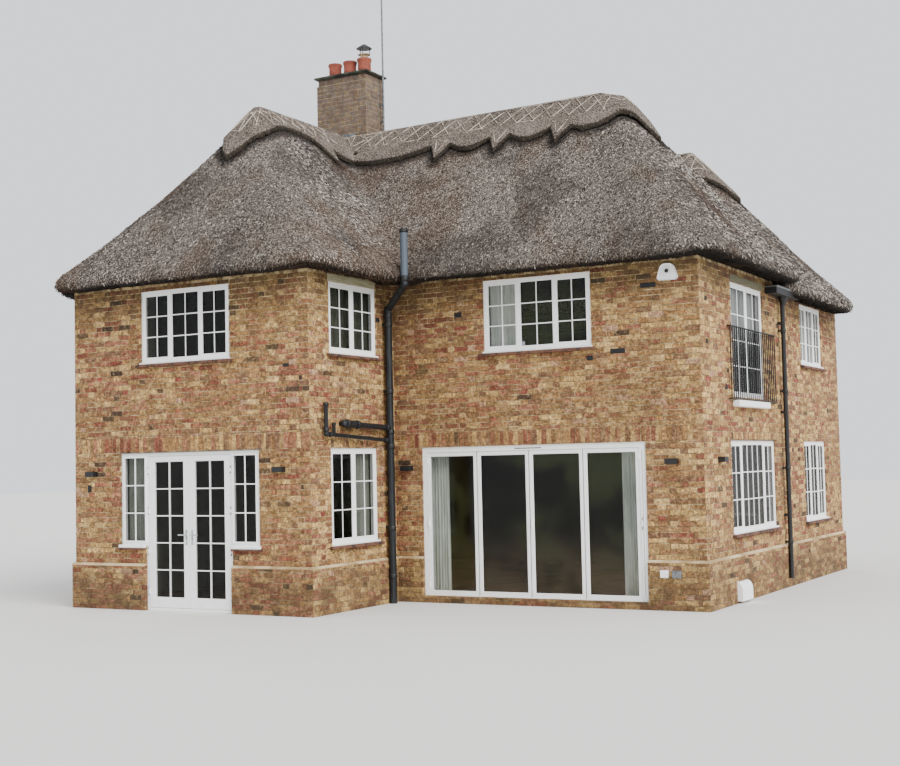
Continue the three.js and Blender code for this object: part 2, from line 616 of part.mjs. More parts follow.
function frenchFrame() {
  const front = FACE;
  const back = FACE + FRAME_DEPTH;
  const bars = [
    block(FRENCH_LEFT, FRENCH_RIGHT, front, back, FRENCH_TOP - FRENCH_FRAME, FRENCH_TOP),
    block(FRENCH_LEFT, FRENCH_LEFT + FRENCH_FRAME, front, back, SIDELIGHT_SILL, FRENCH_TOP),
    block(FRENCH_RIGHT - FRENCH_FRAME, FRENCH_RIGHT, front, back, SIDELIGHT_SILL, FRENCH_TOP),
    block(FRENCH_LEFT, DOOR_LEFT + 10, front, back, SIDELIGHT_SILL, SIDELIGHT_SILL + FRENCH_FRAME),
    block(DOOR_RIGHT - 10, FRENCH_RIGHT, front, back, SIDELIGHT_SILL, SIDELIGHT_SILL + FRENCH_FRAME),
    block(DOOR_LEFT, DOOR_LEFT + FRENCH_FRAME, front, back, GROUND, FRENCH_TOP),
    block(DOOR_RIGHT - FRENCH_FRAME, DOOR_RIGHT, front, back, GROUND, FRENCH_TOP),
    block(DOOR_LEFT, DOOR_RIGHT, front, back, GROUND, GROUND + THRESHOLD),
  ];
  const stopNear = front + LEAF_THICK + SWING_GAP;
  const stop = 14;
  const stopTop = FRENCH_TOP - 10;
  bars.push(block(DOOR_LEFT + 10, DOOR_LEFT + FRENCH_FRAME + stop, stopNear, back, GROUND, stopTop));
  bars.push(block(DOOR_RIGHT - FRENCH_FRAME - stop, DOOR_RIGHT - 10, stopNear, back, GROUND, stopTop));
  const stopLow = FRENCH_TOP - FRENCH_FRAME - stop;
  bars.push(block(DOOR_LEFT + 10, DOOR_RIGHT - 10, stopNear, back, stopLow, stopTop));
  [-1, 1].forEach((side) => {
    HINGE_LEVELS.forEach((z) => bars.push(knuckle(side, z - KNUCKLE_LENGTH - SEAT, true)));
  });
  piece('french_door_frame', joined(bars), WHITE);
  const gap = FRENCH_FRAME + SEAT;
  const near = front + BAR_DEPTH / 2;
  const lite = (x0, x1) => block(x0, x1, near, near + GLASS, SIDELIGHT_SILL + gap, FRENCH_TOP - gap);
  piece('sidelight_glass_left', lite(FRENCH_LEFT + gap, DOOR_LEFT - SEAT), GLAZING);
  piece('sidelight_glass_right', lite(DOOR_RIGHT + SEAT, FRENCH_RIGHT - gap), GLAZING);
}

// Hinge axes stand just in front of the frame, at the gap between leaf and jamb
const AXIS_Y = FACE - KNUCKLE_RADIUS;
const axisX = (side) => (side < 0 ? LEAF_SPACE.x0 + SWING_GAP / 2 : LEAF_SPACE.x1 - SWING_GAP / 2);

// A hinge knuckle and its flap, on the frame's side or on the leaf's
function knuckle(side, z, onFrame) {
  const x = axisX(side);
  const reach = (onFrame ? 1 : -1) * side * 30;
  const barrel = upright(x, AXIS_Y, z, z + KNUCKLE_LENGTH, KNUCKLE_RADIUS, 12);
  const flap = block(Math.min(x, x + reach), Math.max(x, x + reach), FACE - 4, FACE, z, z + KNUCKLE_LENGTH);
  const root = reach > 0 ? [x + 12, x + reach] : [x + reach, x - 12];
  return joined([barrel, flap, block(root[0], root[1], FACE - 4, FACE + 3, z, z + KNUCKLE_LENGTH)]);
}

// One leaf, hinged on the left for side -1 and on the right for side 1
function frenchLeaf(side) {
  const name = side < 0 ? 'french_door_left' : 'french_door_right';
  const middle = (LEAF_SPACE.x0 + LEAF_SPACE.x1) / 2;
  const x0 = side < 0 ? LEAF_SPACE.x0 + SWING_GAP : middle + SWING_GAP / 2;
  const x1 = side < 0 ? middle - SWING_GAP / 2 : LEAF_SPACE.x1 - SWING_GAP;
  const z0 = LEAF_SPACE.z0 + SWING_GAP;
  const z1 = LEAF_SPACE.z1 - SWING_GAP;
  const panel = block(x0, x1, FACE, FACE + LEAF_THICK, z0, z1)
    .subtract(block(x0 + LEAF_STILE, x1 - LEAF_STILE, FACE - 50, FACE + 100,
      z0 + LEAF_KICK, z1 - LEAF_RAIL));
  const knuckles = HINGE_LEVELS.map((z) => knuckle(side, z, false));
  piece(name, joined([panel, ...knuckles]), WHITE);
  const gap = LEAF_STILE + SEAT;
  const near = FACE + (LEAF_THICK - GLASS) / 2;
  const light = block(x0 + gap, x1 - gap, near, near + GLASS, z0 + LEAF_KICK + SEAT, z1 - LEAF_RAIL - SEAT);
  piece(`${name}_glass`, light, GLAZING);
}

// The folding door's outer frame, and its four leaves as one grid before one sheet of glass
function foldingDoor() {
  const g = SEAT;
  const x0 = FOLD_LEFT + FOLD_JAMB;
  const x1 = FOLD_RIGHT - FOLD_JAMB_RIGHT;
  const z0 = FOLD_SILL;
  const z1 = FOLD_TOP - FOLD_HEAD;
  const frame = inWall('front', FOLD_LEFT, FOLD_RIGHT, RECESS, RECESS + FOLD_DEPTH, 0, FOLD_TOP);
  piece('folding_door_frame', frame.subtract(inWall('front', x0, x1, 0, WALL, z0, z1)), WHITE);

  const face = RECESS + FOLD_SET_BACK;
  const back = face + FOLD_LEAF;
  const paneAt = face + FOLD_REBATE;
  const low = z0 + FOLD_STILE;
  const high = z1 - FOLD_STILE;
  const width = (x1 - x0) / FOLD_LEAVES;
  const cuts = [inWall('front', x0 + FOLD_STILE, x1 - FOLD_STILE, paneAt, WALL, low, high)];
  for (let i = 0; i < FOLD_LEAVES; i += 1) {
    const from = x0 + i * width;
    cuts.push(inWall('front', from + FOLD_STILE, from + width - FOLD_STILE, 0, paneAt, low, high));
  }
  const leaves = inWall('front', x0 + g, x1 - g, face, back, z0 + g, z1 - g);
  piece('folding_door_leaves', without(leaves, cuts), WHITE);
  piece('folding_door_glass', inWall('front', x0 + FOLD_STILE + g, x1 - FOLD_STILE - g, paneAt + g,
    paneAt + g + GLASS, low + g, high - g), GLAZING);
}

// A straight pipe between two points, and the ball of an elbow
function run(from, to, radius, sides = 10) {
  const a = new THREE.Vector3(...from);
  const b = new THREE.Vector3(...to);
  const geometry = new THREE.CylinderGeometry(radius, radius, a.distanceTo(b), sides);
  geometry.applyQuaternion(new THREE.Quaternion().setFromUnitVectors(
    new THREE.Vector3(0, 1, 0), b.clone().sub(a).normalize()));
  geometry.translate((a.x + b.x) / 2, (a.y + b.y) / 2, (a.z + b.z) / 2);
  return solidOf(geometry);
}

function elbow([x, y, z], radius) {
  const geometry = new THREE.SphereGeometry(radius, 10, 7);
  geometry.translate(x, y, z);
  return solidOf(geometry);
}

function pipes() {
  const { x, y, radius, bend } = SOIL_PIPE;
  const lower = [x, y, bend];
  const upper = [VENT_PIPE.x, VENT_PIPE.y, VENT_PIPE.foot];
  const main = joined([
    upright(x, y, GROUND, bend, radius, 12),
    upright(VENT_PIPE.x, VENT_PIPE.y, VENT_PIPE.foot, VENT_PIPE.top, radius, 12),
    elbow(lower, radius + 6),
    elbow(upper, radius + 6),
    run(lower, upper, radius - 4, 12),
  ]);
  const wallX = WING_RIGHT + 75;
  const bathEnd = [wallX, -1480, 2530];
  const sinkEnd = [wallX, -1930, 2380];
  const branches = [
    run([WING_RIGHT + SEAT, -1480, 2530], [wallX + 5, -1480, 2530], 34, 8),
    elbow(bathEnd, 56),
    run(bathEnd, [wallX, -1150, 2516], 54, 10),
    run(bathEnd, [x, y, 2480], 40, 10),
    run([wallX, -1930, 2800], sinkEnd, 30, 8),
    run([wallX, -1740, 2530], [wallX, -1740, 2370], 25, 8),
    elbow(sinkEnd, 38),
    run(sinkEnd, [x, y, 2290], 28, 8),
  ];
  const clips = [1000, 3000, 4000].map((z) => block(WING_RIGHT + SEAT, x, y - 20, y + 20, z, z + 40));
  piece('soil_pipe', joined([main, ...branches, ...clips]), LEAD_GREY);

  const d = DOWNPIPE;
  const hopper = joined([
    upright((HOPPER.out + SEAT) / 2, d.y, d.top, HOPPER.bottom + 5, d.radius, 8, HOPPER.out / 2 - 2),
    block(SEAT, HOPPER.out, HOPPER.from, HOPPER.to, HOPPER.bottom, HOPPER.top),
  ]);
  const lugs = [1000, 2600, 4000].map((z) => block(SEAT, d.x, d.y - 40, d.y + 40, z, z + 40));
  piece('downpipe', joined([hopper, upright(d.x, d.y, d.foot, d.top + 60, d.radius, 10), ...lugs]), BLACK);
}

walls();
floors();
roof();
chimney();
windows();
railing();
frenchFrame();
frenchLeaf(-1);
frenchLeaf(1);
foldingDoor();
pipes();

// Origin at the middle of the base
house.position.set(-(HOUSE_LEFT / 2), -((WING_FRONT + HOUSE_BACK) / 2), -GROUND);

export default house;
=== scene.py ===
"""Thatched cottage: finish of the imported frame, in metres, +X along the garden front and +Y to the back."""
import math

import bmesh
import bpy
import numpy as np
from mathutils import Matrix, Vector, noise
from mathutils.bvhtree import BVHTree


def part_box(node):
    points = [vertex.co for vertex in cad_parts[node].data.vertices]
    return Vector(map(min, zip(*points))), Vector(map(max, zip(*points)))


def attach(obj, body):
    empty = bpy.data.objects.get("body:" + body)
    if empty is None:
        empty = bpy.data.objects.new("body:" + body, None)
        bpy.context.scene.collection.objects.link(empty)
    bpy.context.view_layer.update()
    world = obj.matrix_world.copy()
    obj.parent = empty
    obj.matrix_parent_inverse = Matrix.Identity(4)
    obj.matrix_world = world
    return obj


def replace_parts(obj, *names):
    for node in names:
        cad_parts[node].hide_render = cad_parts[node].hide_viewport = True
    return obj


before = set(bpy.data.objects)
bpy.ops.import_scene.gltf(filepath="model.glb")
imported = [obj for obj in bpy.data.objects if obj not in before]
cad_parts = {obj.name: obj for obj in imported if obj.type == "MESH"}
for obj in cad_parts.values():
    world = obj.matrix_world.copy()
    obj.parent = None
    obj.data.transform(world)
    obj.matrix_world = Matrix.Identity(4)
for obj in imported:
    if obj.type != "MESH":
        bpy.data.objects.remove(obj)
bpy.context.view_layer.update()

# Photograph and its camera
FOCAL_PX = 1384.25
IMAGE_WIDTH = 900
SENSOR = 36.0
CAMERA_AT = (10.6456, -20.3712, 2.0456)
YAW = math.radians(29.2074)
PITCH = math.radians(3.2947)
ROLL = math.radians(1.2657)

# The house frame: front right corner of the walls, at the level of the folding door's bottom
HOUSE = Vector((4.570, -2.6125, 0.100))
HOUSE_LEFT = -9.140
WING_RIGHT = -4.820
WING_FRONT = -2.215
RANGE_SPLIT = 3.770
HOUSE_BACK = 7.440
GROUND = -0.100
WALL_TOP = 4.660
PLINTH_TOP = 0.546
PLINTH_OUT = 0.040
BOTH_ENDS = (PLINTH_OUT, PLINTH_OUT)

# Each wall: a point of its face, the direction along it and the direction out of it
WALLS = {
    "wing_front": ((0, WING_FRONT, 0), (1, 0, 0), (0, -1, 0)),
    "front": ((0, 0, 0), (1, 0, 0), (0, -1, 0)),
    "north": ((0, HOUSE_BACK, 0), (1, 0, 0), (0, 1, 0)),
    "wing_side": ((WING_RIGHT, 0, 0), (0, 1, 0), (1, 0, 0)),
    "east": ((0, 0, 0), (0, 1, 0), (1, 0, 0)),
    "west": ((HOUSE_LEFT, 0, 0), (0, 1, 0), (-1, 0, 0)),
}

# Brick sizes
STRETCHER = 0.215
HEADER = 0.1025
CLOSER = 0.0465
JOINT = 0.010
COURSE = 0.075
BRICK_PROUD = 0.0045
BRICK_DEPTH = 0.048
CORNER_SHY = 0.003
LEAST_BRICK = 0.020
UNEVEN = 0.0015

# French doors with their sidelights, and the folding door, along their walls and in height
FRENCH_LEFT = -8.233
FRENCH_RIGHT = -5.689
FRENCH_TOP = 2.180
SIDELIGHT = 0.478
SIDELIGHT_SILL = 0.837
FOLD_LEFT = -4.358
FOLD_RIGHT = -0.829
FOLD_TOP = 2.175
FOLD_STILE = 0.054

# Chimney: its plan, the crown of bricks on end that stands back, the slab and the cream liner in a pot
STACK_X = (-7.490, -6.475)
STACK_Y = (1.980, 2.560)
CROWN_BOTTOM = 8.545
CROWN_BACK = 0.024
CAP_FOOT = 8.642
CAP_TOP = 8.700
LINER_TOP = 9.061
POTS = [(-7.294, 0.112, 8.978, False), (-6.984, 0.112, 8.978, False), (-6.687, 0.118, 8.984, True)]

# Heights in the row frame at which the walls' look changes, and the x where the lined pot begins
DAMP_FOOT = (0.25, 0.85)
UNDER_EAVES = (3.85, 4.75)
ALOFT = (6.9, 7.2)
ROOF_LEVEL = 6.5
LINED_POT = (-2.262, -2.250)
LINER_SHOWS = (9.086, 9.092)

RANDOM = np.random.default_rng(7)


# Materials

def colour(hex_code):
    def linear(byte):
        c = byte / 255
        return c / 12.92 if c <= 0.04045 else ((c + 0.055) / 1.055) ** 2.4
    return (linear(hex_code >> 16), linear(hex_code >> 8 & 255), linear(hex_code & 255), 1.0)


class Value:
    """The value of a node's output, with which sums can be written."""

    def __init__(self, finish, socket):
        self.finish = finish
        self.socket = socket

    def maths(self, operation, *values):
        return self.finish.node("ShaderNodeMath", {"operation": operation}, dict(enumerate(values)))

    def __add__(self, other):
        return self.maths("ADD", self, other)

    def __radd__(self, other):
        return self.maths("ADD", other, self)

    def __sub__(self, other):
        return self.maths("SUBTRACT", self, other)

    def __rsub__(self, other):
        return self.maths("SUBTRACT", other, self)

    def __mul__(self, other):
        return self.maths("MULTIPLY", self, other)

    def __rmul__(self, other):
        return self.maths("MULTIPLY", other, self)

    def between(self, low, high):
        """0 at low and 1 at high, eased."""
        return self.finish.node("ShaderNodeMapRange", {"interpolation_type": "SMOOTHSTEP"},
                                {"Value": self, "From Min": low, "From Max": high})


class Finish:
    """A material on the piece's own coordinates, built node by node."""

    def __init__(self, name, roughness=0.8, metallic=0.0, specular=0.5):
        self.material = bpy.data.materials.new(name)
        self.material.use_nodes = True
        self.tree = self.material.node_tree
        self.shader = self.tree.nodes["Principled BSDF"]
        self.shader.inputs["Roughness"].default_value = roughness
        self.shader.inputs["Metallic"].default_value = metallic
        self.shader.inputs["Specular IOR Level"].default_value = specular
        self.where = self.node("ShaderNodeTexCoord", output="Object")

    def node(self, kind, settings=None, inputs=None, output=0):
        made = self.tree.nodes.new(kind)
        for key, value in (settings or {}).items():
            if key == "stops":
                self.set_stops(made.color_ramp, value)
            elif key == "steps":
                made.color_ramp.interpolation = value
            else:
                setattr(made, key, value)
        for key, value in (inputs or {}).items():
            if isinstance(value, Value):
                self.tree.links.new(value.socket, made.inputs[key])
            else:
                made.inputs[key].default_value = value
        return Value(self, made.outputs[output])

    @staticmethod
    def set_stops(ramp, stops):
        while len(ramp.elements) < len(stops):
            ramp.elements.new(1.0)
        for element, (place, shade) in zip(ramp.elements, stops):
            element.position = place
            element.color = colour(shade)

    def attribute(self, name):
        return self.node("ShaderNodeAttribute", {"attribute_name": name}, output="Fac")

    def grain(self, scale, detail=3, stretch=None, rough=0.55):
        """Noise of about 0.5, so many lumps a metre, perhaps stretched along the axes."""
        place = self.where
        if stretch:
            place = self.node("ShaderNodeMapping", None, {"Vector": place, "Scale": stretch})
        return self.node("ShaderNodeTexNoise", None,
                         {"Vector": place, "Scale": scale, "Detail": detail, "Roughness": rough})

    def axis(self, name):
        return self.node("ShaderNodeSeparateXYZ", None, {"Vector": self.where}, output=name)

    def height(self):
        return self.axis("Z")

    def thatch_browning(self):
        """Brown streaks down the slopes, and browner reed where two slopes meet in the valley."""
        x = self.axis("X")
        y = self.axis("Y")
        streaks = self.grain(1.1, 3, stretch=(1, 1, 0.16)).between(0.50, 0.66)
        valley = x.between(-1.1, -0.2) * (1 - x.between(0.1, 1.1)) * (1 - y.between(-0.6, 0.2))
        return 1 - (1 - streaks) * (1 - valley * self.grain(2.3, 3).between(0.32, 0.6))

    def thatch_dusk(self):
        """Darker reed in patches drawn down the slopes, over the wing's roof and on the right hip."""
        x = self.axis("X")
        patches = self.grain(0.8, 4, stretch=(1, 1, 0.45)).between(0.50, 0.62)
        wing = 0.76 + 0.24 * x.between(-1.6, 0.2)
        right_hip = 1 - 0.30 * x.between(2.2, 3.4)
        return 1 - (1 - patches * 0.85) * wing * right_hip

    def wall_film(self, base):
        """Grime and pale bloom that run on across bricks and joints alike."""
        film = self.grain(12, 4, rough=0.7)
        grimy = self.mix(film.between(0.50, 0.63) * 0.36, base, 0x524430)
        return self.mix((1 - film).between(0.53, 0.66) * 0.30, grimy, 0xc3ac80)

    def indoors(self):
        """1 inside the outer faces of the walls and below the chimney's free part, 0 outside."""
        x = self.axis("X")
        y = self.axis("Y")
        skin = 0.08
        step = 0.02

        def beyond(value, low):
            return value.between(low + skin, low + skin + step)

        def short_of(value, high):
            return 1 - value.between(high - skin - step, high - skin)
        wing = beyond(y, HOUSE.y + WING_FRONT) * short_of(x, HOUSE.x + WING_RIGHT)
        ranges = beyond(y, HOUSE.y) * short_of(x, HOUSE.x)
        either = 1 - (1 - wing) * (1 - ranges)
        far_side = beyond(x, HOUSE.x + HOUSE_LEFT) * short_of(y, HOUSE.y + HOUSE_BACK)
        return either * far_side * short_of(self.height(), ROOF_LEVEL)

    def ramp(self, value, stops, steps="LINEAR"):
        return self.node("ShaderNodeValToRGB", {"stops": stops, "steps": steps}, {"Fac": value})

    def mix(self, factor, a, b, blend="MIX"):
        """Blends two colours, each a value, a hex code or four numbers."""
        a, b = (colour(shade) if isinstance(shade, int) else shade for shade in (a, b))
        return self.node("ShaderNodeMix", {"data_type": "RGBA", "blend_type": blend},
                         {0: factor, 6: a, 7: b}, output=2)

    def bump(self, height, distance, strength=1.0):
        return self.node("ShaderNodeBump", None,
                         {"Height": height, "Distance": distance, "Strength": strength})

    def finish(self, **inputs):
        """Feeds the shader: base_color, roughness, normal, alpha and so on."""
        for key, value in inputs.items():
            socket = self.shader.inputs[key.replace("_", " ").title()]
            if isinstance(value, Value):
                self.tree.links.new(value.socket, socket)
            else:
                socket.default_value = value
        return self.material


# Brick colours by kind, each kind a run of tones
BRICK_KINDS = {
    "tan": [0x8f6a47, 0x987148, 0x7f5c3f, 0xa1794e, 0x866341, 0x917249, 0x765641, 0x9d7a52],
    "rosy": [0x8f5c45, 0x7f4d3b, 0x98654d, 0x86543f],
    "buff": [0xb9955f, 0xc8a56e, 0xac8a58, 0xbf9b63],
    "red": [0x87473a, 0x743c30],
    "burnt": [0x3a2c25, 0x4c3a2f],
    "pink": [0xb08a70, 0xa58066],
}
BRICK_COLOURS = [shade for shades in BRICK_KINDS.values() for shade in shades]


def brick_finish():
    f = Finish("stock_brick", roughness=0.92, specular=0.25)
    tone = f.attribute("tone")
    count = len(BRICK_COLOURS)
    base = f.ramp(tone, [(i / count, c) for i, c in enumerate(BRICK_COLOURS)], "CONSTANT")
    weathered = f.mix(f.grain(0.9, 3).between(0.4, 0.68) * 0.3, base, 0x8f7244)
    stain_and_shade = f.mix(f.grain(0.5, 2).between(0.50, 0.66) * 0.35, weathered, 0x6b4f38)
    blots = f.grain(26, 5, rough=0.8).between(0.47, 0.58) * 0.9
    mottled = f.mix(blots, stain_and_shade, (0.40, 0.35, 0.31, 1), "MULTIPLY")
    flecks = f.grain(21, 4, rough=0.8).between(0.51, 0.61)
    pale = f.mix(flecks, mottled, (2.00, 1.98, 1.84, 1), "MULTIPLY")
    filmed = f.wall_film(pale)
    foot = 1 - f.height().between(*DAMP_FOOT)
    damp = f.mix(foot * (0.30 + f.grain(3.1, 4).between(0.35, 0.7) * 0.45), filmed, 0x4a3d2a)
    # Painted shadow: the bricks darken towards the eaves, where the thatch's overhang shades the wall.
    under_eaves = f.height().between(*UNDER_EAVES)
    painted_eave_shadow = f.mix(under_eaves * 0.55, damp, 0x3a3526)
    aloft = f.height().between(*ALOFT)
    greying = 0.35 + f.grain(13, 4, rough=0.7).between(0.42, 0.58) * 0.5
    weather = f.mix(aloft * greying, painted_eave_shadow, 0x6d625b)
    grimed = f.mix(aloft * f.grain(9, 4, rough=0.75).between(0.49, 0.59) * 0.42, weather, 0x463d3a)
    pits = f.grain(140, 3)
    return f.finish(base_color=grimed, normal=f.bump(pits, 0.004, 0.8))


def mortar_finish():
    f = Finish("lime_mortar", roughness=0.95, specular=0.2)
    base = f.mix(f.grain(3, 4).between(0.35, 0.7), 0xc9b388, 0xa08a63)
    dirty = f.mix(f.grain(9, 4, rough=0.7).between(0.42, 0.58) * 0.85, base, 0x5b4731)
    filmed = f.wall_film(dirty)
    foot = 1 - f.height().between(*DAMP_FOOT)
    damp = f.mix(foot * 0.55, filmed, 0x4b3b29)
    aloft = f.mix(f.height().between(*ALOFT) * 0.5, damp, 0x8a8070)
    sandy = f.mix(f.grain(180, 2).between(0.4, 0.7) * 0.3, aloft, 0x6a573f)
    # Painted shade: faces inside the house take a dark grey in place of their plaster's cream, for the dim
    # rooms seen through the glass.
    indoor_shade = f.mix(f.indoors(), sandy, 0x6e6a5c)
    return f.finish(base_color=indoor_shade, normal=f.bump(f.grain(160, 2), 0.003, 0.7))


def thatch_finish():
    f = Finish("water_reed_thatch", roughness=0.97, specular=0.12)
    base = f.ramp(f.grain(0.55, 4), [(0.30, 0x4a4440), (0.46, 0x645c57),
                                     (0.60, 0x6e655e), (0.74, 0x59524d)])
    browned = f.mix(f.thatch_browning() * 0.85, base, 0x524032)
    ends = f.grain(44, 4, rough=0.8)
    speckled = f.mix(ends.between(0.51, 0.57) * 0.80, browned, 0xc4b8aa)
    holes = f.mix(f.grain(56, 3, rough=0.8).between(0.50, 0.56) * 0.88, speckled, 0x191613)
    patched = f.mix(f.thatch_dusk() * 0.55, holes, 0x2b2724)
    # Painted shade: the coat darkens under the caps' edges and on the eaves' undersides that face down.
    stain_and_shade = f.mix(f.attribute("shelter") * 0.92, patched, 0x100e0c)
    return f.finish(base_color=stain_and_shade, normal=f.bump(ends + f.grain(21, 3) * 0.8, 0.03, 0.9))


def reed_finish():
    f = Finish("reed_ends", roughness=0.9, specular=0.2)
    base = f.ramp(f.attribute("tone"), [(0.0, 0x14110f), (0.30, 0x3b3531), (0.52, 0x675f58),
                                        (0.70, 0x958b82), (0.87, 0xcbc0b3), (1.0, 0xf6eee0)])
    browned = f.mix(f.thatch_browning() * 0.72, base, 0x584334)
    dusky = f.mix(f.thatch_dusk() * 0.55, browned, 0x2f2b28)
    return f.finish(base_color=dusky)


def ridge_finish():
    f = Finish("ridge_sedge", roughness=0.95, specular=0.12)
    base = f.ramp(f.grain(1.7, 4), [(0.32, 0x453c38), (0.5, 0x5c524c), (0.68, 0x71675f)])
    ends = f.grain(46, 4, rough=0.8)
    speckled = f.mix(ends.between(0.50, 0.58) * 0.75, base, 0xaba08f)
    dark = f.mix(f.grain(38, 4, rough=0.8).between(0.49, 0.57) * 0.85, speckled, 0x221d1a)
    # Painted shade: the steep cut faces at the caps' edges darken, as the sedge above them shades them.
    cut = f.mix(f.attribute("shelter") * 0.80, dark, 0x1d1912)
    return f.finish(base_color=cut, normal=f.bump(ends + f.grain(24, 3) * 0.5, 0.016, 0.8))


def hazel_finish():
    f = Finish("split_hazel", roughness=0.8, specular=0.3)
    base = f.mix(f.grain(9, 3).between(0.4, 0.65), 0xc6baa8, 0x7a7063)
    return f.finish(base_color=base, normal=f.bump(f.grain(120, 2), 0.002, 0.6))


def paint_finish():
    f = Finish("white_gloss_paint", roughness=0.35)
    dirt = f.grain(5, 4).between(0.5, 0.75) * 0.30
    base = f.mix(dirt, 0xfbfcfa, 0xdddcd5)
    fine = f.mix(f.grain(60, 3).between(0.55, 0.8) * 0.25, base, 0xb1ada0)
    rough = 0.3 + f.grain(12, 3) * 0.25
    return f.finish(base_color=fine, roughness=rough, normal=f.bump(f.grain(40, 2), 0.0006, 0.4))


def glass_finish():
    f = Finish("window_glass", roughness=0.04)
    x = f.axis("X")
    garden_side = x.between(-0.1, 0.1) * (1 - x.between(4.3, 4.45))
    # Painted reflection: green patches of the garden on the glass of the garden front.
    dark = f.mix(f.grain(1.1, 3).between(0.45, 0.60) * garden_side, 0x0a0b07, 0x353b24)
    # Painted reflection: a brown band of the ground low on the same glass.
    low = (1 - f.height().between(0.25, 1.15)) * f.grain(1.6, 3).between(0.30, 0.55)
    painted_reflection = f.mix(low * garden_side * 0.9, dark, 0x594d3a)
    f.shader.inputs["IOR"].default_value = 1.45
    return f.finish(base_color=painted_reflection, alpha=0.26, roughness=0.02 + f.grain(2.3, 2) * 0.05)


def iron_finish(name, dark, light, roughness=0.5):
    f = Finish(name, roughness=roughness)
    worn = f.mix(f.grain(30, 4).between(0.55, 0.75) * 0.4, dark, light)
    return f.finish(base_color=worn, roughness=roughness - 0.1 + f.grain(14, 3) * 0.3,
                    normal=f.bump(f.grain(70, 2), 0.0008, 0.5))


def pipe_finish():
    f = Finish("soil_pipe_paint", roughness=0.45, specular=0.35)
    above = f.height().between(4.72, 4.76)
    base = f.mix(above, 0x15181a, 0x4d5660)
    streaked = f.mix(f.grain(6, 4, stretch=(3, 3, 0.5)).between(0.5, 0.75) * 0.22, base, 0x53595c)
    return f.finish(base_color=streaked, roughness=0.35 + f.grain(12, 2) * 0.25)


def cement_finish():
    f = Finish("weathered_cement", roughness=0.93, specular=0.25)
    base = f.mix(f.grain(6, 5).between(0.4, 0.65), 0x47453d, 0x262622)
    lichen = f.mix(f.grain(14, 4).between(0.52, 0.68) * 0.6, base, 0x4c5a41)
    return f.finish(base_color=lichen, normal=f.bump(f.grain(60, 4), 0.006, 0.8))


def terracotta_finish():
    f = Finish("terracotta", roughness=0.85, specular=0.3)
    base = f.mix(f.grain(5, 4).between(0.4, 0.65), 0x95503f, 0x763c31)
    cream = f.axis("X").between(*LINED_POT) * f.height().between(*LINER_SHOWS)
    lined = f.mix(cream, base, 0xd3bd97)
    soot = f.height().between(9.03, 9.12) * f.grain(16, 3).between(0.3, 0.6) * 0.7
    return f.finish(base_color=f.mix(soot, lined, 0x33261f), normal=f.bump(f.grain(50, 3), 0.003, 0.6))


def steel_finish(name, light, dark):
    f = Finish(name, roughness=0.45, metallic=0.7)
    base = f.mix(f.grain(25, 4).between(0.4, 0.7), light, dark)
    return f.finish(base_color=base, roughness=0.35 + f.grain(40, 3) * 0.3)


def cloth_finish(name, light, fold, dusk=None):
    """Cloth of two tones; below the height dusk it is darker."""
    f = Finish(name, roughness=0.9, specular=0.2)
    threads = f.grain(300, 2, stretch=(1, 1, 0.3))
    base = f.mix(f.grain(4, 3, stretch=(4, 4, 0.4)).between(0.4, 0.65) * 0.6, light, fold)
    if dusk:
        base = f.mix(1 - f.height().between(dusk - 0.25, dusk + 0.25), base, 0x3d433d)
    return f.finish(base_color=base, normal=f.bump(threads, 0.0008, 0.5))


def timber_finish():
    f = Finish("lintel_paint", roughness=0.7)
    grain = f.grain(3, 4, stretch=(1, 1, 22))
    base = f.mix(grain.between(0.42, 0.66), 0xa8a487, 0x86805f)
    flaked = f.mix(f.grain(22, 4).between(0.62, 0.74), base, 0x6a5b47)
    x = f.axis("X")
    shaded = f.mix(x.between(2, 4) * 0.75, flaked, 0x4b4529)
    return f.finish(base_color=shaded, normal=f.bump(grain, 0.004, 0.6))


def tile_finish():
    f = Finish("sill_tiles", roughness=0.85, specular=0.3)
    base = f.mix(f.grain(9, 4).between(0.4, 0.65), 0x6d4b3c, 0x40302a)
    moss = f.mix(f.grain(30, 4).between(0.6, 0.75) * 0.5, base, 0x6f6a4c)
    return f.finish(base_color=moss, normal=f.bump(f.grain(70, 3), 0.003, 0.7))


def shaded_floor_finish():
    # The floor's brown is its own colour darkened as painted shade of the dim rooms seen through the glass.
    f = Finish("shaded_floor_screed", roughness=0.85)
    base = f.mix(f.grain(3, 4).between(0.4, 0.65), 0x6b5440, 0x523f2f)
    return f.finish(base_color=base, normal=f.bump(f.grain(50, 3), 0.002, 0.5))


def fillet_finish():
    f = Finish("pale_fillet", roughness=0.92, specular=0.2)
    base = f.mix(f.grain(2.5, 4).between(0.4, 0.65), 0xcdb993, 0x9f8863)
    cracked = f.mix(f.grain(35, 4).between(0.58, 0.72) * 0.6, base, 0x63543f)
    return f.finish(base_color=cracked, normal=f.bump(f.grain(80, 3), 0.003, 0.7))


BRICK = brick_finish()
MORTAR = mortar_finish()
THATCH = thatch_finish()
REED = reed_finish()
RIDGE = ridge_finish()
HAZEL = hazel_finish()
PAINT = paint_finish()
GLASS = glass_finish()
IRON = iron_finish("black_iron", 0x0f1011, 0x2e2b28)
RUBBER = iron_finish("black_rubber", 0x191a1b, 0x2c2d2e, 0.7)
PIPE = pipe_finish()
CEMENT = cement_finish()
TERRACOTTA = terracotta_finish()
STEEL = steel_finish("galvanised_steel", 0x7f8284, 0x5a5c5d)
LEVER = steel_finish("polished_lever", 0xc4c8ca, 0x8f9496)
WHITE_CLOTH = cloth_finish("white_curtain", 0xf0f1ec, 0xc6c7c0)
NET_CLOTH = cloth_finish("net_curtain", 0xa6ac9e, 0x7c8278)
DOOR_CLOTH = cloth_finish("upper_door_curtain", 0xc9ccca, 0x9a9d9b, 3.75)
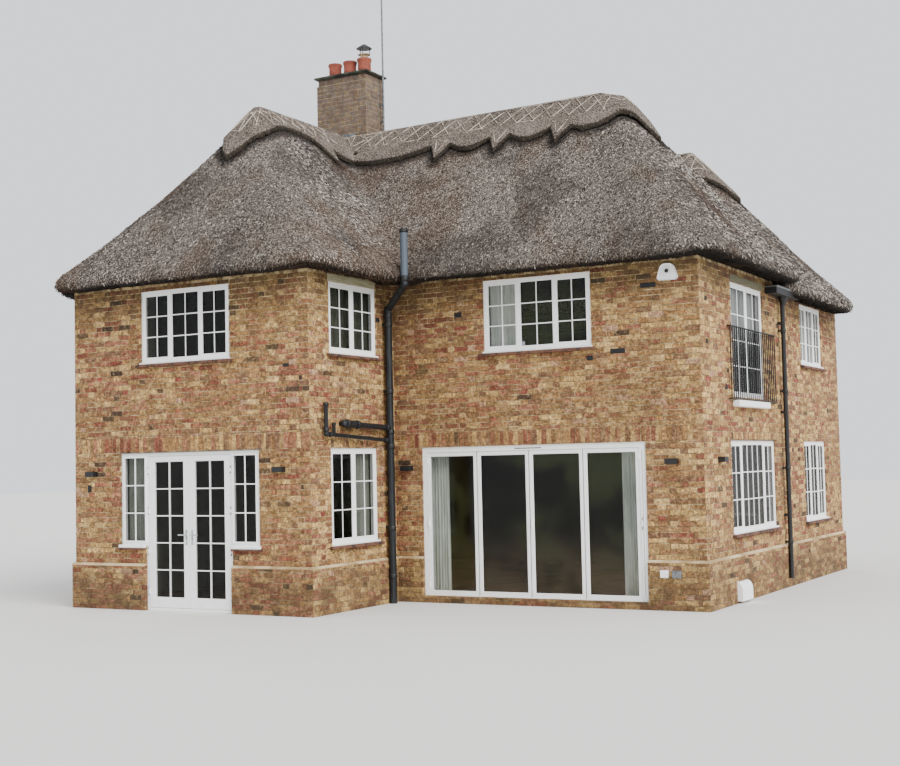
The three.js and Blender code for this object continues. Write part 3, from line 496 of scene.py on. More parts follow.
DIM_CLOTH = cloth_finish("shaded_net", 0x646a5e, 0x474c43)
GREEN_CLOTH = cloth_finish("green_curtain", 0xf2f7ee, 0xb4c2b4)
TIMBER = timber_finish()
TILE = tile_finish()
SHADED_SCREED = shaded_floor_finish()
FILLET = fillet_finish()


def node_finishes():
    """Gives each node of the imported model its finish."""
    rules = [("thatch_", THATCH), ("ridge_cap", RIDGE), ("_glass", GLASS), ("_wall", MORTAR),
             ("chimney_stack", MORTAR), ("_floor", SHADED_SCREED), ("railing", IRON), ("downpipe", IRON),
             ("soil_pipe", PIPE), ("chimney_cap", CEMENT), ("chimney_pots", TERRACOTTA),
             ("chimney_cowl", IRON), ("aerial_mast", STEEL)]
    for name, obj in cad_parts.items():
        material = next((finish for part, finish in rules if part in name), PAINT)
        obj.data.materials.clear()
        obj.data.materials.append(material)


# Making pieces

def face_frame(face, along, out):
    """The frame of an upright face: x along it, y out of it and z up."""
    turn = Matrix((along, out, (0, 0, 1))).transposed().to_4x4()
    return Matrix.Translation(HOUSE + Vector(face)) @ turn


def wall_frame(wall):
    return face_frame(*WALLS[wall])


HOUSE_FRAME = Matrix.Translation(HOUSE)


def in_house(x, y, z):
    """The frame of a spot given in the house frame."""
    return HOUSE_FRAME @ Matrix.Translation((x, y, z))


def new_object(name, data):
    obj = bpy.data.objects.new(name, data)
    bpy.context.scene.collection.objects.link(obj)
    return obj


def place_piece(name, mesh, material, body="house"):
    obj = new_object(name, mesh)
    if not mesh.materials:
        mesh.materials.append(material)
    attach(obj, body)
    return obj


def piece(name, bm, material, body="house", smooth=False):
    bmesh.ops.recalc_face_normals(bm, faces=bm.faces)
    mesh = bpy.data.meshes.new(name)
    bm.to_mesh(mesh)
    bm.free()
    if smooth:
        mesh.shade_smooth()
    return place_piece(name, mesh, material, body)


def add_box(bm, at, x, y, z):
    """A block between the pairs x, y and z of the frame at."""
    low = Vector((x[0], y[0], z[0]))
    high = Vector((x[1], y[1], z[1]))
    middle = Matrix.Translation((low + high) / 2)
    bmesh.ops.create_cube(bm, size=1, matrix=at @ middle @ Matrix.Diagonal(high - low).to_4x4())


def soften(bm, width, segments=1):
    bmesh.ops.bevel(bm, geom=bm.edges[:], offset=width, segments=segments, profile=0.5,
                    affect="EDGES", material=-1, clamp_overlap=True)


def drawn_out(bm, section, a0, a1):
    """A prism along a wall, from a0 to a1, of a section of depths and heights."""
    face = bm.faces.new([bm.verts.new((a0, depth, z)) for depth, z in section])
    grown = bmesh.ops.extrude_face_region(bm, geom=[face])
    moved = [g for g in grown["geom"] if isinstance(g, bmesh.types.BMVert)]
    bmesh.ops.translate(bm, vec=(a1 - a0, 0, 0), verts=moved)


def boxes(name, blocks, material, at=HOUSE_FRAME, bevel=0.003, body="house"):
    """Blocks given as x, y and z pairs in a frame, their edges softened, as one piece."""
    bm = bmesh.new()
    for x, y, z in blocks:
        add_box(bm, at, x, y, z)
    soften(bm, bevel)
    return piece(name, bm, material, body)


def modified(mesh, kind, **settings):
    """The mesh with one modifier applied."""
    obj = new_object("loose", mesh)
    changer = obj.modifiers.new(kind.lower(), kind)
    for key, value in settings.items():
        setattr(changer, key, value)
    seen = obj.evaluated_get(bpy.context.evaluated_depsgraph_get())
    mesh = bpy.data.meshes.new_from_object(seen)
    bpy.data.objects.remove(obj)
    return mesh


def repeated(name, pattern, places, tones, material):
    """One mesh of many copies of a small pattern, each with a place and a tone of its own."""
    corners = np.array([v.co for v in pattern.verts])
    faces = np.array([[v.index for v in f.verts] for f in pattern.faces])
    wide = np.concatenate([corners, np.ones((len(corners), 1))], axis=1)
    points = np.einsum("nij,vj->nvi", places, wide)[:, :, :3].reshape(-1, 3)
    shifts = (np.arange(len(places)) * len(corners))[:, None, None]
    turned = np.linalg.det(places[:, :3, :3]) < 0
    joined = np.where(turned[:, None, None], faces[None, :, ::-1], faces[None]) + shifts
    joined = joined.reshape(-1, faces.shape[1])
    mesh = bpy.data.meshes.new(name)
    mesh.from_pydata(points, [], joined)
    layer = mesh.attributes.new("tone", "FLOAT", "POINT")
    layer.data.foreach_set("value", np.repeat(tones, len(corners)).astype(np.float32))
    place_piece(name, mesh, material)


# Brickwork

def brick_pattern():
    """A unit brick with its back off and its front edges worn, from -0.5 to 0.5, front at y 0.5."""
    bm = bmesh.new()
    bmesh.ops.create_cube(bm, size=1)
    back = [f for f in bm.faces if f.normal.y < -0.5]
    bmesh.ops.delete(bm, geom=back, context="FACES_ONLY")
    front = [e for e in bm.edges if all(v.co.y > 0 for v in e.verts)]
    bmesh.ops.bevel(bm, geom=front, offset=0.035, segments=1, profile=0.5, affect="EDGES", material=-1)
    bm.verts.index_update()
    return bm


def clipped(brick, holes, least=0.016):
    """The parts of a brick's face that lie outside the holes."""
    parts = [brick]
    for h0, h1, g0, g1 in holes:
        rest = []
        for a0, a1, z0, z1 in parts:
            if a1 <= h0 or a0 >= h1 or z1 <= g0 or z0 >= g1:
                rest.append((a0, a1, z0, z1))
                continue
            rest.append((a0, min(a1, h0), z0, z1))
            rest.append((max(a0, h1), a1, z0, z1))
            rest.append((max(a0, h0), min(a1, h1), z0, min(z1, g0)))
            rest.append((max(a0, h0), min(a1, h1), max(z0, g1), z1))
        parts = [p for p in rest if p[1] - p[0] > least and p[3] - p[2] > least]
    return parts


def bond(a0, a1, z0, z1, start, flip=False):
    """Faces of bricks in Flemish bond; odd courses begin with a header and a closer."""
    bricks = []
    course = start
    level = z0
    while level < z1 - LEAST_BRICK:
        top = min(level + COURSE - JOINT, z1)
        reach = 0.0
        if course % 2:
            bricks.append((0, HEADER, level, top))
            bricks.append((HEADER + JOINT, HEADER + JOINT + CLOSER, level, top))
            reach = HEADER + CLOSER + 2 * JOINT
        stretcher = True
        while reach < a1 - a0 - LEAST_BRICK:
            end = min(reach + (STRETCHER if stretcher else HEADER), a1 - a0)
            bricks.append((reach, end, level, top))
            reach = end + JOINT
            stretcher = not stretcher
        course += 1
        level += COURSE
    if flip:
        return [(a1 - e, a1 - s, low, top) for s, e, low, top in bricks]
    return [(a0 + s, a0 + e, low, top) for s, e, low, top in bricks]


def standing(a0, a1, z0, z1, width=0.065):
    """A course of bricks standing on end."""
    count = max(1, round((a1 - a0 + JOINT) / (width + JOINT)))
    pitch = (a1 - a0 + JOINT) / count
    return [(a0 + i * pitch, a0 + (i + 1) * pitch - JOINT, z0, z1) for i in range(count)]


def brick_tones(middles, red, buff):
    """A tone for each brick: kinds gather in patches, and the front right corner is cleaner and yellower."""
    shares = np.tile([0.60, 0.20, 0.13, 0.030, 0.020, 0.020], (len(middles), 1))
    warm = np.array([noise.noise(Vector(m) * 0.55) for m in middles])
    light = np.array([noise.noise(Vector(m) * 0.8 + Vector((7, 3, 5))) for m in middles])
    shares[:, 1] += np.clip(warm, 0, 1) * 0.55 + red
    shares[:, 3] += np.clip(warm, 0, 1) * 0.08 + red * 0.5
    shares[:, 2] += np.clip(light, 0, 1) * 0.40 + buff
    shares[:, 4] += np.clip(-light, 0, 1) * 0.04
    corner = np.hypot(middles[:, 0] - HOUSE.x, middles[:, 1] - HOUSE.y)
    clean = np.clip(1.3 - corner / 1.1, 0, 1)
    shares[:, 2] += clean * 0.45
    shares[:, 0] += clean * 0.5
    shares[:, 1] *= 1 - clean * 0.6
    shares[:, 3:5] *= 1 - clean[:, None] * 0.8
    totals = np.cumsum(shares / shares.sum(axis=1, keepdims=True), axis=1)
    kind = (RANDOM.uniform(0, 1, (len(middles), 1)) > totals).sum(axis=1)
    sizes = np.array([len(shades) for shades in BRICK_KINDS.values()])
    starts = np.concatenate([[0], np.cumsum(sizes)[:-1]])
    picked = starts[kind] + np.floor(RANDOM.uniform(0, 1, len(middles)) * sizes[kind])
    return (picked + 0.5) / len(BRICK_COLOURS)


def brickwork(name, at, layers, red=0.0, buff=0.0):
    """Bricks of several layers as one piece; a layer is its faces and how far its wall stands out."""
    pattern = brick_pattern()
    places = []
    turn = np.array(at)
    for faces, out in layers:
        for a0, a1, z0, z1 in faces:
            proud = out + BRICK_PROUD + RANDOM.uniform(-UNEVEN, UNEVEN)
            deep = BRICK_DEPTH + proud
            own = np.eye(4)
            own[0, 0] = a1 - a0 + RANDOM.uniform(0, 0.004)
            own[1, 1] = deep
            own[2, 2] = z1 - z0 - RANDOM.uniform(0, 0.004)
            own[2, 0] = RANDOM.uniform(-UNEVEN, UNEVEN)
            level = (z0 + z1) / 2 + RANDOM.uniform(-UNEVEN, UNEVEN)
            own[:3, 3] = ((a0 + a1) / 2, proud - deep / 2, level)
            places.append(turn @ own)
    places = np.array(places)
    tones = brick_tones(places[:, :3, 3], red, buff)
    repeated(name, pattern, places, tones, BRICK)
    pattern.free()


def cut_to(faces, holes):
    return [part for face in faces for part in clipped(face, holes)]


WALL_BOTTOM = GROUND + 9 * COURSE


def wall_bricks(wall, a0, a1, bands, doors=(), flip=False, red=0.0, buff=0.0, plinth_ends=BOTH_ENDS):
    """A wall's bricks above its plinth, its bands of standing bricks, and its plinth's bricks."""
    openings = [opening_of(node) for node, data in WINDOWS.items() if data[0] == wall] + list(doors)
    edge = 0.0015
    holes = [(h0 + edge, h1 - edge, g0 + edge, g1 - edge) for h0, h1, g0, g1 in openings]
    band_holes = [(b0 - JOINT, b1 + JOINT, c0 - JOINT / 2, c1) for b0, b1, c0, c1 in bands]
    field = cut_to(bond(a0, a1, WALL_BOTTOM - COURSE, WALL_TOP - 0.03, 8, flip), holes + band_holes)
    upright = []
    for b0, b1, c0, c1 in bands:
        upright.extend(standing(b0, b1, c0 + JOINT / 2, c1 - JOINT))
    upright = cut_to(upright, holes)
    p0 = a0 - plinth_ends[0]
    p1 = a1 + plinth_ends[1]
    plinth = cut_to(bond(p0, p1, GROUND, PLINTH_TOP - 0.008, 0, flip), holes)
    brickwork(f"bricks_{wall}", wall_frame(wall), [(field + upright, 0), (plinth, PLINTH_OUT)], red, buff)


FRENCH_HOLES = [(FRENCH_LEFT, FRENCH_RIGHT, SIDELIGHT_SILL, FRENCH_TOP),
                (FRENCH_LEFT + SIDELIGHT, FRENCH_RIGHT - SIDELIGHT, -1, FRENCH_TOP)]
FOLD_HOLE = (FOLD_LEFT, FOLD_RIGHT, 0, FOLD_TOP)

# Windows: their wall, where their mullions stand, columns of panes in each light, rows and fixed lights
THIRDS = (0, 1 / 3, 2 / 3, 1)
HALVES = (0, 1 / 2, 1)
QUARTERS = (0, 1 / 4, 3 / 4, 1)
THREE_LIGHTS = (THIRDS, (2, 2, 2), 3, {1})
TWO_LIGHTS = (HALVES, (2, 2), 3, set())
WINDOWS = {
    "wing_front_upper_window": ("wing_front", *THREE_LIGHTS),
    "front_upper_window": ("front", *THREE_LIGHTS),
    "wing_side_lower_window": ("wing_side", *TWO_LIGHTS),
    "wing_side_upper_window": ("wing_side", *TWO_LIGHTS),
    "east_lower_window": ("east", QUARTERS, (2, 4, 2), 3, {1}),
    "east_rear_lower_window": ("east", *THREE_LIGHTS),
    "east_rear_upper_window": ("east", *THREE_LIGHTS),
    "north_left_upper_window": ("north", *THREE_LIGHTS),
    "north_right_upper_window": ("north", *THREE_LIGHTS),
    "north_lower_window": ("north", *THREE_LIGHTS),
    "west_upper_window": ("west", *THREE_LIGHTS),
    "west_lower_window": ("west", *THREE_LIGHTS),
    "upper_door": ("east", HALVES, (2, 2), 4, set()),
}


def opening_of(node):
    """A node's extent along its wall and in height, in the house frame."""
    wall = WINDOWS[node][0]
    low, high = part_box(node)
    axis = 0 if abs(WALLS[wall][1][0]) > 0.5 else 1
    return (low[axis] - HOUSE[axis], high[axis] - HOUSE[axis], low.z - HOUSE.z, high.z - HOUSE.z)


def brick_walls():
    """The bricks of all walls; a band of standing bricks is given by its ends and its levels."""
    shy = CORNER_SHY
    wall_bricks("wing_front", HOUSE_LEFT + shy, WING_RIGHT - shy,
                [(HOUSE_LEFT + shy, WING_RIGHT - shy, 2.192, 2.420)], FRENCH_HOLES, flip=True)
    wall_bricks("wing_side", WING_FRONT + shy, 0, [(-1.860, -0.500, 2.190, 2.305)], buff=0.34,
                plinth_ends=(PLINTH_OUT, 0))
    wall_bricks("front", WING_RIGHT, -shy, [(-4.620, -shy, 2.175, 2.400)], [FOLD_HOLE], flip=True,
                plinth_ends=(0, PLINTH_OUT))
    wall_bricks("east", shy, HOUSE_BACK - shy, [(1.050, 3.440, 2.185, 2.300)], red=0.02, buff=0.34)
    wall_bricks("north", HOUSE_LEFT + shy, -shy, [(-3.315, -1.385, 2.195, 2.420)], red=0.15)
    wall_bricks("west", WING_FRONT + shy, HOUSE_BACK - shy, [(1.885, 3.815, 2.195, 2.420)], red=0.06)


def stack_span(out):
    """The chimney's plan as x and y pairs, wider by so much on every side."""
    return tuple((low - out, high + out) for low, high in (STACK_X, STACK_Y))


def chimney_bricks():
    """The stack's four faces, each with a crown of bricks on end under the slab, set back."""
    faces = {
        "front": ((0, STACK_Y[0], 0), (1, 0, 0), (0, -1, 0)),
        "back": ((0, STACK_Y[1], 0), (1, 0, 0), (0, 1, 0)),
        "right": ((STACK_X[1], 0, 0), (0, 1, 0), (1, 0, 0)),
        "left": ((STACK_X[0], 0, 0), (0, 1, 0), (-1, 0, 0)),
    }
    foot = CROWN_BOTTOM - 24 * COURSE
    for side, face in faces.items():
        broad = side in ("front", "back")
        a0, a1 = STACK_X if broad else STACK_Y
        shaft = bond(a0 + CORNER_SHY, a1 - CORNER_SHY, foot, CROWN_BOTTOM, 0 if broad else 1)
        crown = standing(a0 + CROWN_BACK, a1 - CROWN_BACK, CROWN_BOTTOM + JOINT, CAP_FOOT)
        brickwork(f"bricks_chimney_{side}", face_frame(*face), [(shaft, 0), (crown, -CROWN_BACK)], red=0.1)
    low, high = node_span("chimney_stack")
    blocks = [(*stack_span(0), (low.z, CROWN_BOTTOM)),
              (*stack_span(-CROWN_BACK), (CROWN_BOTTOM - 0.005, high.z))]
    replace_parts(boxes("chimney_core", blocks, MORTAR, bevel=0.002), "chimney_stack")


def plinth_fillets():
    """The sloping mortar fillet along the plinth's top."""
    spans = {
        "wing_front": [(HOUSE_LEFT - PLINTH_OUT, FRENCH_LEFT + SIDELIGHT),
                       (FRENCH_RIGHT - SIDELIGHT, WING_RIGHT + PLINTH_OUT)],
        "wing_side": [(WING_FRONT - PLINTH_OUT, -PLINTH_OUT)],
        "front": [(WING_RIGHT + PLINTH_OUT, FOLD_LEFT), (FOLD_RIGHT, PLINTH_OUT)],
        "east": [(-PLINTH_OUT, HOUSE_BACK + PLINTH_OUT)],
        "north": [(HOUSE_LEFT - PLINTH_OUT, PLINTH_OUT)],
        "west": [(WING_FRONT - PLINTH_OUT, HOUSE_BACK + PLINTH_OUT)],
    }
    outer = PLINTH_OUT + BRICK_PROUD
    profile = [(-0.010, PLINTH_TOP - 0.010), (outer, PLINTH_TOP - 0.010), (outer + 0.002, PLINTH_TOP - 0.001),
               (outer - 0.004, PLINTH_TOP + 0.004), (BRICK_PROUD + 0.002, PLINTH_TOP + 0.026),
               (-0.010, PLINTH_TOP + 0.026)]
    for wall, runs in spans.items():
        bm = bmesh.new()
        for a0, a1 in runs:
            drawn_out(bm, profile, a0, a1)
        bmesh.ops.transform(bm, matrix=wall_frame(wall), verts=bm.verts)
        piece(f"plinth_fillet_{wall}", bm, FILLET)


# Thatch

EAVE_OUT = 0.490
LIP_OUT = 0.478
LIP_RISE = 0.095
EAVE = 4.660
NOSE = [(0.030, 0.0), (0.200, -0.030), (0.400, -0.060), (0.468, -0.035), (EAVE_OUT, 0.025),
        (LIP_OUT, LIP_RISE)]
SHARP = 0.020
CORNER_LIFT = 0.070
RIDGE_HALF = 0.070
RANGES = {
    "wing": {"x0": HOUSE_LEFT, "x1": WING_RIGHT, "y0": WING_FRONT, "y1": 5.200, "eave": EAVE, "ridge": 7.515,
             "rx0": -7.050, "rx1": -6.910, "ry0": -0.460, "ry1": 3.300, "sag": 0, "corner": 0.950,
             "hip": 0.420, "bow": 0, "swell": 0, "drop": 0},
    "front": {"x0": -7.400, "x1": 0, "y0": 0, "y1": RANGE_SPLIT, "eave": EAVE, "ridge": 7.515,
              "rx0": -6.980, "rx1": -2.000, "ry0": 1.815, "ry1": 1.955, "sag": 0.070, "corner": 0.950,
              "hip": 0.150, "bow": 0.045, "swell": 0.250, "drop": 0.095},
    "rear": {"x0": HOUSE_LEFT, "x1": 0, "y0": RANGE_SPLIT, "y1": HOUSE_BACK, "eave": 4.470, "ridge": 7.255,
             "rx0": -7.150, "rx1": -1.950, "ry0": 5.535, "ry1": 5.675, "sag": 0, "corner": 1.350,
             "hip": 0.560, "bow": 0, "swell": 0, "drop": 0},
}
CORNER_STEPS = 12
SIDE_STEPS = 26
SLOPE_STEPS = 18
COAT_GRID = 0.067
SLOPE_REEDS = 36000
EAVE_REEDS = 16000
REED_THICK = (0.008, 0.015)


def rounded_ring(x0, x1, y0, y1, radius, z, lift):
    """A rounded rectangle of even count, anticlockwise from above, whose corners lift."""
    r = min(radius, 0.45 * (x1 - x0), 0.45 * (y1 - y0))
    centres = [(x1 - r, y1 - r), (x0 + r, y1 - r), (x0 + r, y0 + r), (x1 - r, y0 + r)]
    ring = []
    for corner, (cx, cy) in enumerate(centres):
        for step in range(CORNER_STEPS + 1):
            turn = step / CORNER_STEPS
            angle = (corner + turn) * math.pi / 2
            ring.append(Vector((cx + r * math.cos(angle), cy + r * math.sin(angle),
                                z + lift * math.sin(math.pi * turn))))
        angle = (corner + 1) * math.pi / 2
        start = Vector((cx + r * math.cos(angle), cy + r * math.sin(angle), z))
        nx, ny = centres[(corner + 1) % 4]
        end = Vector((nx + r * math.cos(angle), ny + r * math.sin(angle), z))
        for step in range(1, SIDE_STEPS):
            ring.append(start.lerp(end, step / SIDE_STEPS))
    return ring


def thatch_rings(d):
    rings = []
    for reach, rise in NOSE:
        radius = SHARP + (d["corner"] - SHARP) * reach / LIP_OUT
        rings.append(rounded_ring(d["x0"] - reach, d["x1"] + reach, d["y0"] - reach, d["y1"] + reach,
                                  radius, d["eave"] + rise, CORNER_LIFT))
    for step in range(1, SLOPE_STEPS + 1):
        t = step / SLOPE_STEPS
        hump = 4 * t * (1 - t)

        def mix(low, high):
            return low + (high - low) * t
        x1 = mix(d["x1"] + LIP_OUT, d["rx1"]) + d["swell"] * t ** 4
        radius = mix(d["corner"], RIDGE_HALF) + d["hip"] * hump
        level = mix(d["eave"] + LIP_RISE, d["ridge"]) + d["bow"] * hump
        ring = rounded_ring(mix(d["x0"] - LIP_OUT, d["rx0"]), x1, mix(d["y0"] - LIP_OUT, d["ry0"]),
                            mix(d["y1"] + LIP_OUT, d["ry1"]), radius, level, CORNER_LIFT * (1 - t))
        for p in ring:
            left = min(max((d["rx1"] - p.x) / (d["rx1"] - d["rx0"]), 0), 1)
            p.z -= t * d["sag"] * left
            if p.x > d["rx1"]:
                p.z -= d["drop"] * t ** 8
        rings.append(ring)
    return rings


def thatch_skin():
    """The three hipped ranges as one smooth coat."""
    bm = bmesh.new()
    for d in RANGES.values():
        rings = thatch_rings(d)
        count = len(rings[0])
        sheet = bmesh.ops.create_grid(bm, x_segments=count, y_segments=len(rings) - 1, size=1)["verts"]
        sheet.sort(key=lambda v: (round(v.co.y, 5), round(v.co.x, 5)))
        for row, ring in enumerate(rings):
            for column in range(count + 1):
                sheet[row * (count + 1) + column].co = ring[column % count] + HOUSE
    bmesh.ops.remove_doubles(bm, verts=bm.verts, dist=0.0004)
    bmesh.ops.holes_fill(bm, edges=[e for e in bm.edges if e.is_boundary], sides=0)
    bmesh.ops.triangulate(bm, faces=[f for f in bm.faces if len(f.verts) > 4])
    bmesh.ops.recalc_face_normals(bm, faces=bm.faces)
    rough = bpy.data.meshes.new("thatch_form")
    bm.to_mesh(rough)
    bm.free()
    return weathered(modified(rough, "REMESH", mode="VOXEL", voxel_size=COAT_GRID), 4, 0.016, 1.3)


def weathered(mesh, rounds, depth, lumps, proud=0.0):
    """Smooths a remeshed mesh and lets its surface wander in and out."""
    bm = bmesh.new()
    bm.from_mesh(mesh)
    for _ in range(rounds):
        bmesh.ops.smooth_vert(bm, verts=bm.verts, factor=0.5,
                              use_axis_x=True, use_axis_y=True, use_axis_z=True)
    bm.normal_update()
    shifts = [v.normal * (proud + depth * (noise.noise(v.co * lumps) + 0.4 * noise.noise(v.co * lumps * 6.1)))
              for v in bm.verts]
    for v, shift in zip(bm.verts, shifts):
        v.co += shift
    bm.to_mesh(mesh)
    bm.free()
    mesh.materials.clear()
    mesh.shade_smooth()
    return mesh


def tree_of(meshes):
    """The meshes together, ready for rays and nearest points."""
    bm = bmesh.new()
    for mesh in meshes:
        bm.from_mesh(mesh)
    tree = BVHTree.FromBMesh(bm)
    bm.free()
    return tree


def reed_pattern():
    """A short reed as a sliver of four faces: its butt at x 0.5, running to a point at x -0.5."""
    bm = bmesh.new()
    bmesh.ops.create_cone(bm, cap_ends=True, cap_tris=False, segments=3, radius1=0.5, radius2=0, depth=1,
                          matrix=Matrix.Rotation(math.radians(-90), 4, "Y"))
    bmesh.ops.recalc_face_normals(bm, faces=bm.faces)
    bmesh.ops.triangulate(bm, faces=bm.faces)
    bm.verts.index_update()
    return bm


def reed_places(points, normals, lean, length):
    """Frames for reeds that lie down the slope and lift off it."""
    down = np.tile([0.0, 0.0, -1.0], (len(points), 1))
    down = down - normals * np.sum(down * normals, axis=1, keepdims=True)
    size = np.linalg.norm(down, axis=1, keepdims=True)
    down = down / np.maximum(size, 1e-4)
    side = np.cross(normals, down)
    swing = RANDOM.normal(0, 0.45, (len(points), 1))
    lifts = RANDOM.uniform(*lean, (len(points), 1))
    along = down + side * swing + normals * lifts
    along /= np.linalg.norm(along, axis=1, keepdims=True)
    across = np.cross(along, normals)
    across /= np.linalg.norm(across, axis=1, keepdims=True)
    third = np.cross(along, across)
    lengths = RANDOM.uniform(*length, (len(points), 1))
    widths = RANDOM.uniform(*REED_THICK, (len(points), 1))
    places = np.tile(np.eye(4), (len(points), 1, 1))
    places[:, :3, 0] = along * lengths
    places[:, :3, 1] = across * widths
    places[:, :3, 2] = third * widths
    places[:, :3, 3] = points + along * lengths * 0.15
    return places


def scattered(mesh, count, keep):
    """Points and normals spread evenly over the faces that keep allows."""
    mesh.calc_loop_triangles()
    corners = np.array([v.co for v in mesh.vertices])
    tris = np.array([t.vertices for t in mesh.loop_triangles])
    a, b, c = (corners[tris[:, i]] for i in range(3))
    cross = np.cross(b - a, c - a)
    area = np.linalg.norm(cross, axis=1) / 2
    normal = cross / np.maximum(area[:, None] * 2, 1e-9)
    middle = (a + b + c) / 3
    weight = area * keep(middle, normal)
    chosen = RANDOM.choice(len(tris), count, p=weight / weight.sum())
    u = RANDOM.uniform(0, 1, (count, 1))
    v = RANDOM.uniform(0, 1, (count, 1))
    folded = u + v > 1
    u = np.where(folded, 1 - u, u)
    v = np.where(folded, 1 - v, v)
    points = a[chosen] + u * (b - a)[chosen] + v * (c - a)[chosen]
    return points, normal[chosen]


def shade_near_caps(covers, points, reach=0.15):
    """How near each point lies to the edge of a cap, from 1 at the cap to 0 at the reach: the strength of the
    painted shade that the caps cast.
    """
    nearest = [covers.find_nearest(Vector(p), reach)[3] for p in points]
    return np.array([0.0 if far is None else (1 - far / reach) ** 0.6 for far in nearest])


def straw(skin, covers):
    """Reed ends standing out of the coat, and the shaggy cut edge of the eaves."""
    pattern = reed_pattern()

    def slopes(middle, normal):
        return ((normal[:, 2] > 0.12) & (middle[:, 2] > HOUSE.z + 4.50)).astype(float)
    for part in range(3):
        points, normals = scattered(skin, SLOPE_REEDS, slopes)
        bare = np.array([covers.ray_cast(Vector(p) + Vector((0, 0, -0.05)), Vector((0, 0, 1)))[0] is None
                         for p in points])
        points, normals = points[bare], normals[bare]
        # Painted shade: reed ends near the caps' edges are darker.
        tones = RANDOM.uniform(0, 1, len(points)) * (1 - 0.85 * shade_near_caps(covers, points))
        places = reed_places(points, normals, (0.08, 0.36), (0.040, 0.085))
        repeated(f"thatch_reeds_{part + 1}", pattern, places, tones, REED)

    def lip(middle, normal):
        low = HOUSE.z + 4.38
        return ((normal[:, 2] < 0.35) & (normal[:, 2] > -0.995) & (middle[:, 2] > low)
                & (middle[:, 2] < HOUSE.z + 4.86)).astype(float)
    points, normals = scattered(skin, EAVE_REEDS, lip)
    lowered = normals + np.array([0, 0, 0.25])
    lowered /= np.linalg.norm(lowered, axis=1, keepdims=True)
    places = reed_places(points, lowered, (0.05, 0.30), (0.045, 0.085))
    # Painted shade: reeds on the eaves' undersides, which face down, are darker.
    tones = RANDOM.uniform(0, 0.95, len(places)) * np.clip(1.7 + 1.6 * normals[:, 2], 0.15, 1)
    repeated("thatch_reeds_eaves", pattern, places, tones, REED)
    pattern.free()


# Ridge caps

CUT_FACE_RISE = 0.45
CAP_GRID = 0.018
CAP_KEPT = 0.31
ROD_RADIUS = 0.0070


def mark_cut_faces(mesh):
    """Marks the steep faces at the edge of a cap, which the sedge above them shades."""
    tree = tree_of([mesh])
    shade = []
    for v in mesh.vertices:
        steep = min(1.0, max(0.0, (CUT_FACE_RISE - v.normal.z) / 0.30))
        if steep > 0 and tree.ray_cast(v.co + v.normal * 0.03, Vector((0, 0, -1)))[0] is not None:
            steep = 0.0
        shade.append(steep)
    mesh.attributes.new("shelter", "FLOAT", "POINT").data.foreach_set("value", shade)


# Where the two front caps meet, and their slope there
CAP_GAP = {"x": (-6.470, -6.335), "y": (1.480, 1.600), "top": 7.262, "top_at": 1.561, "pitch": 1.0735}


def fill_cap_gap(bm):
    """Runs the sedge on across the small gap where the two front caps meet."""
    before = set(bm.verts)
    add_box(bm, HOUSE_FRAME, CAP_GAP["x"], CAP_GAP["y"], (CAP_GAP["top"] - 0.12, CAP_GAP["top"]))
    for v in bm.verts:
        if v not in before:
            v.co.z += CAP_GAP["pitch"] * (v.co.y - HOUSE.y - CAP_GAP["top_at"])


def cap_skins():
    """The ridge caps, thick and soft-edged, each in the place of its nodes."""
    meshes = []
    for name, nodes in (("wing_and_front", ("ridge_cap_wing", "ridge_cap_front_range")),
                        ("rear", ("ridge_cap_rear_range",))):
        bm = bmesh.new()
        for node in nodes:
            bm.from_mesh(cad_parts[node].data)
        bmesh.ops.remove_doubles(bm, verts=bm.verts, dist=0.0005)
        if name == "wing_and_front":
            fill_cap_gap(bm)
        rough = bpy.data.meshes.new("cap_form")
        bm.to_mesh(rough)
        bm.free()
        fine = modified(rough, "REMESH", mode="VOXEL", voxel_size=CAP_GRID)
        mesh = weathered(fine, 4, 0.003, 3.0, 0.006)
        mesh = modified(mesh, "DECIMATE", ratio=CAP_KEPT)
        mesh.shade_smooth()
        mark_cut_faces(mesh)
        cap = place_piece(f"ridge_thatch_{name}", mesh, RIDGE)
        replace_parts(cap, *nodes)
        meshes.append(mesh)
    return meshes


RIDGES = {
    "wing_front_end": {"along": "y", "sign": -1, "to": -0.460, "end": 1.420, "across": -6.980, "points": 0},
    "wing_rear_end": {"along": "y", "sign": 1, "to": 3.300, "end": 1.420, "across": -6.980, "points": 2},
    "front_end": {"along": "x", "sign": 1, "to": -2.000, "end": -6.500, "across": 1.885, "points": 3},
    "rear_right_end": {"along": "x", "sign": 1, "to": -1.950, "end": -4.550, "across": 5.605, "points": 3},
    "rear_left_end": {"along": "x", "sign": -1, "to": -7.150, "end": -4.550, "across": 5.605, "points": 3},
}
TURN_RADIUS = 0.450
SPAR_PITCH = 0.300
LIGGER_UPPER = 0.115
LIGGER_LOWER = 0.400
LIGGER_SHOWS = 0.5
RANGE_END = 1.277
POINT_PITCH = 1.055
ABOVE_ROOF = 9.5


def ridge_point(ridge, s, reach):
    """A point at a distance s round the cap from its hip end's point, and reach from the ridge."""
    side = 1 if s >= 0 else -1
    s = abs(s)
    quarter = math.pi / 2 * TURN_RADIUS
    if s < quarter:
        angle = s / TURN_RADIUS
        u = reach * math.cos(angle)
        v = reach * math.sin(angle)
    else:
        u = -(s - quarter)
        v = reach
    u = ridge["to"] + ridge["sign"] * u
    v = ridge["across"] + side * v
    return (u, v) if ridge["along"] == "x" else (v, u)


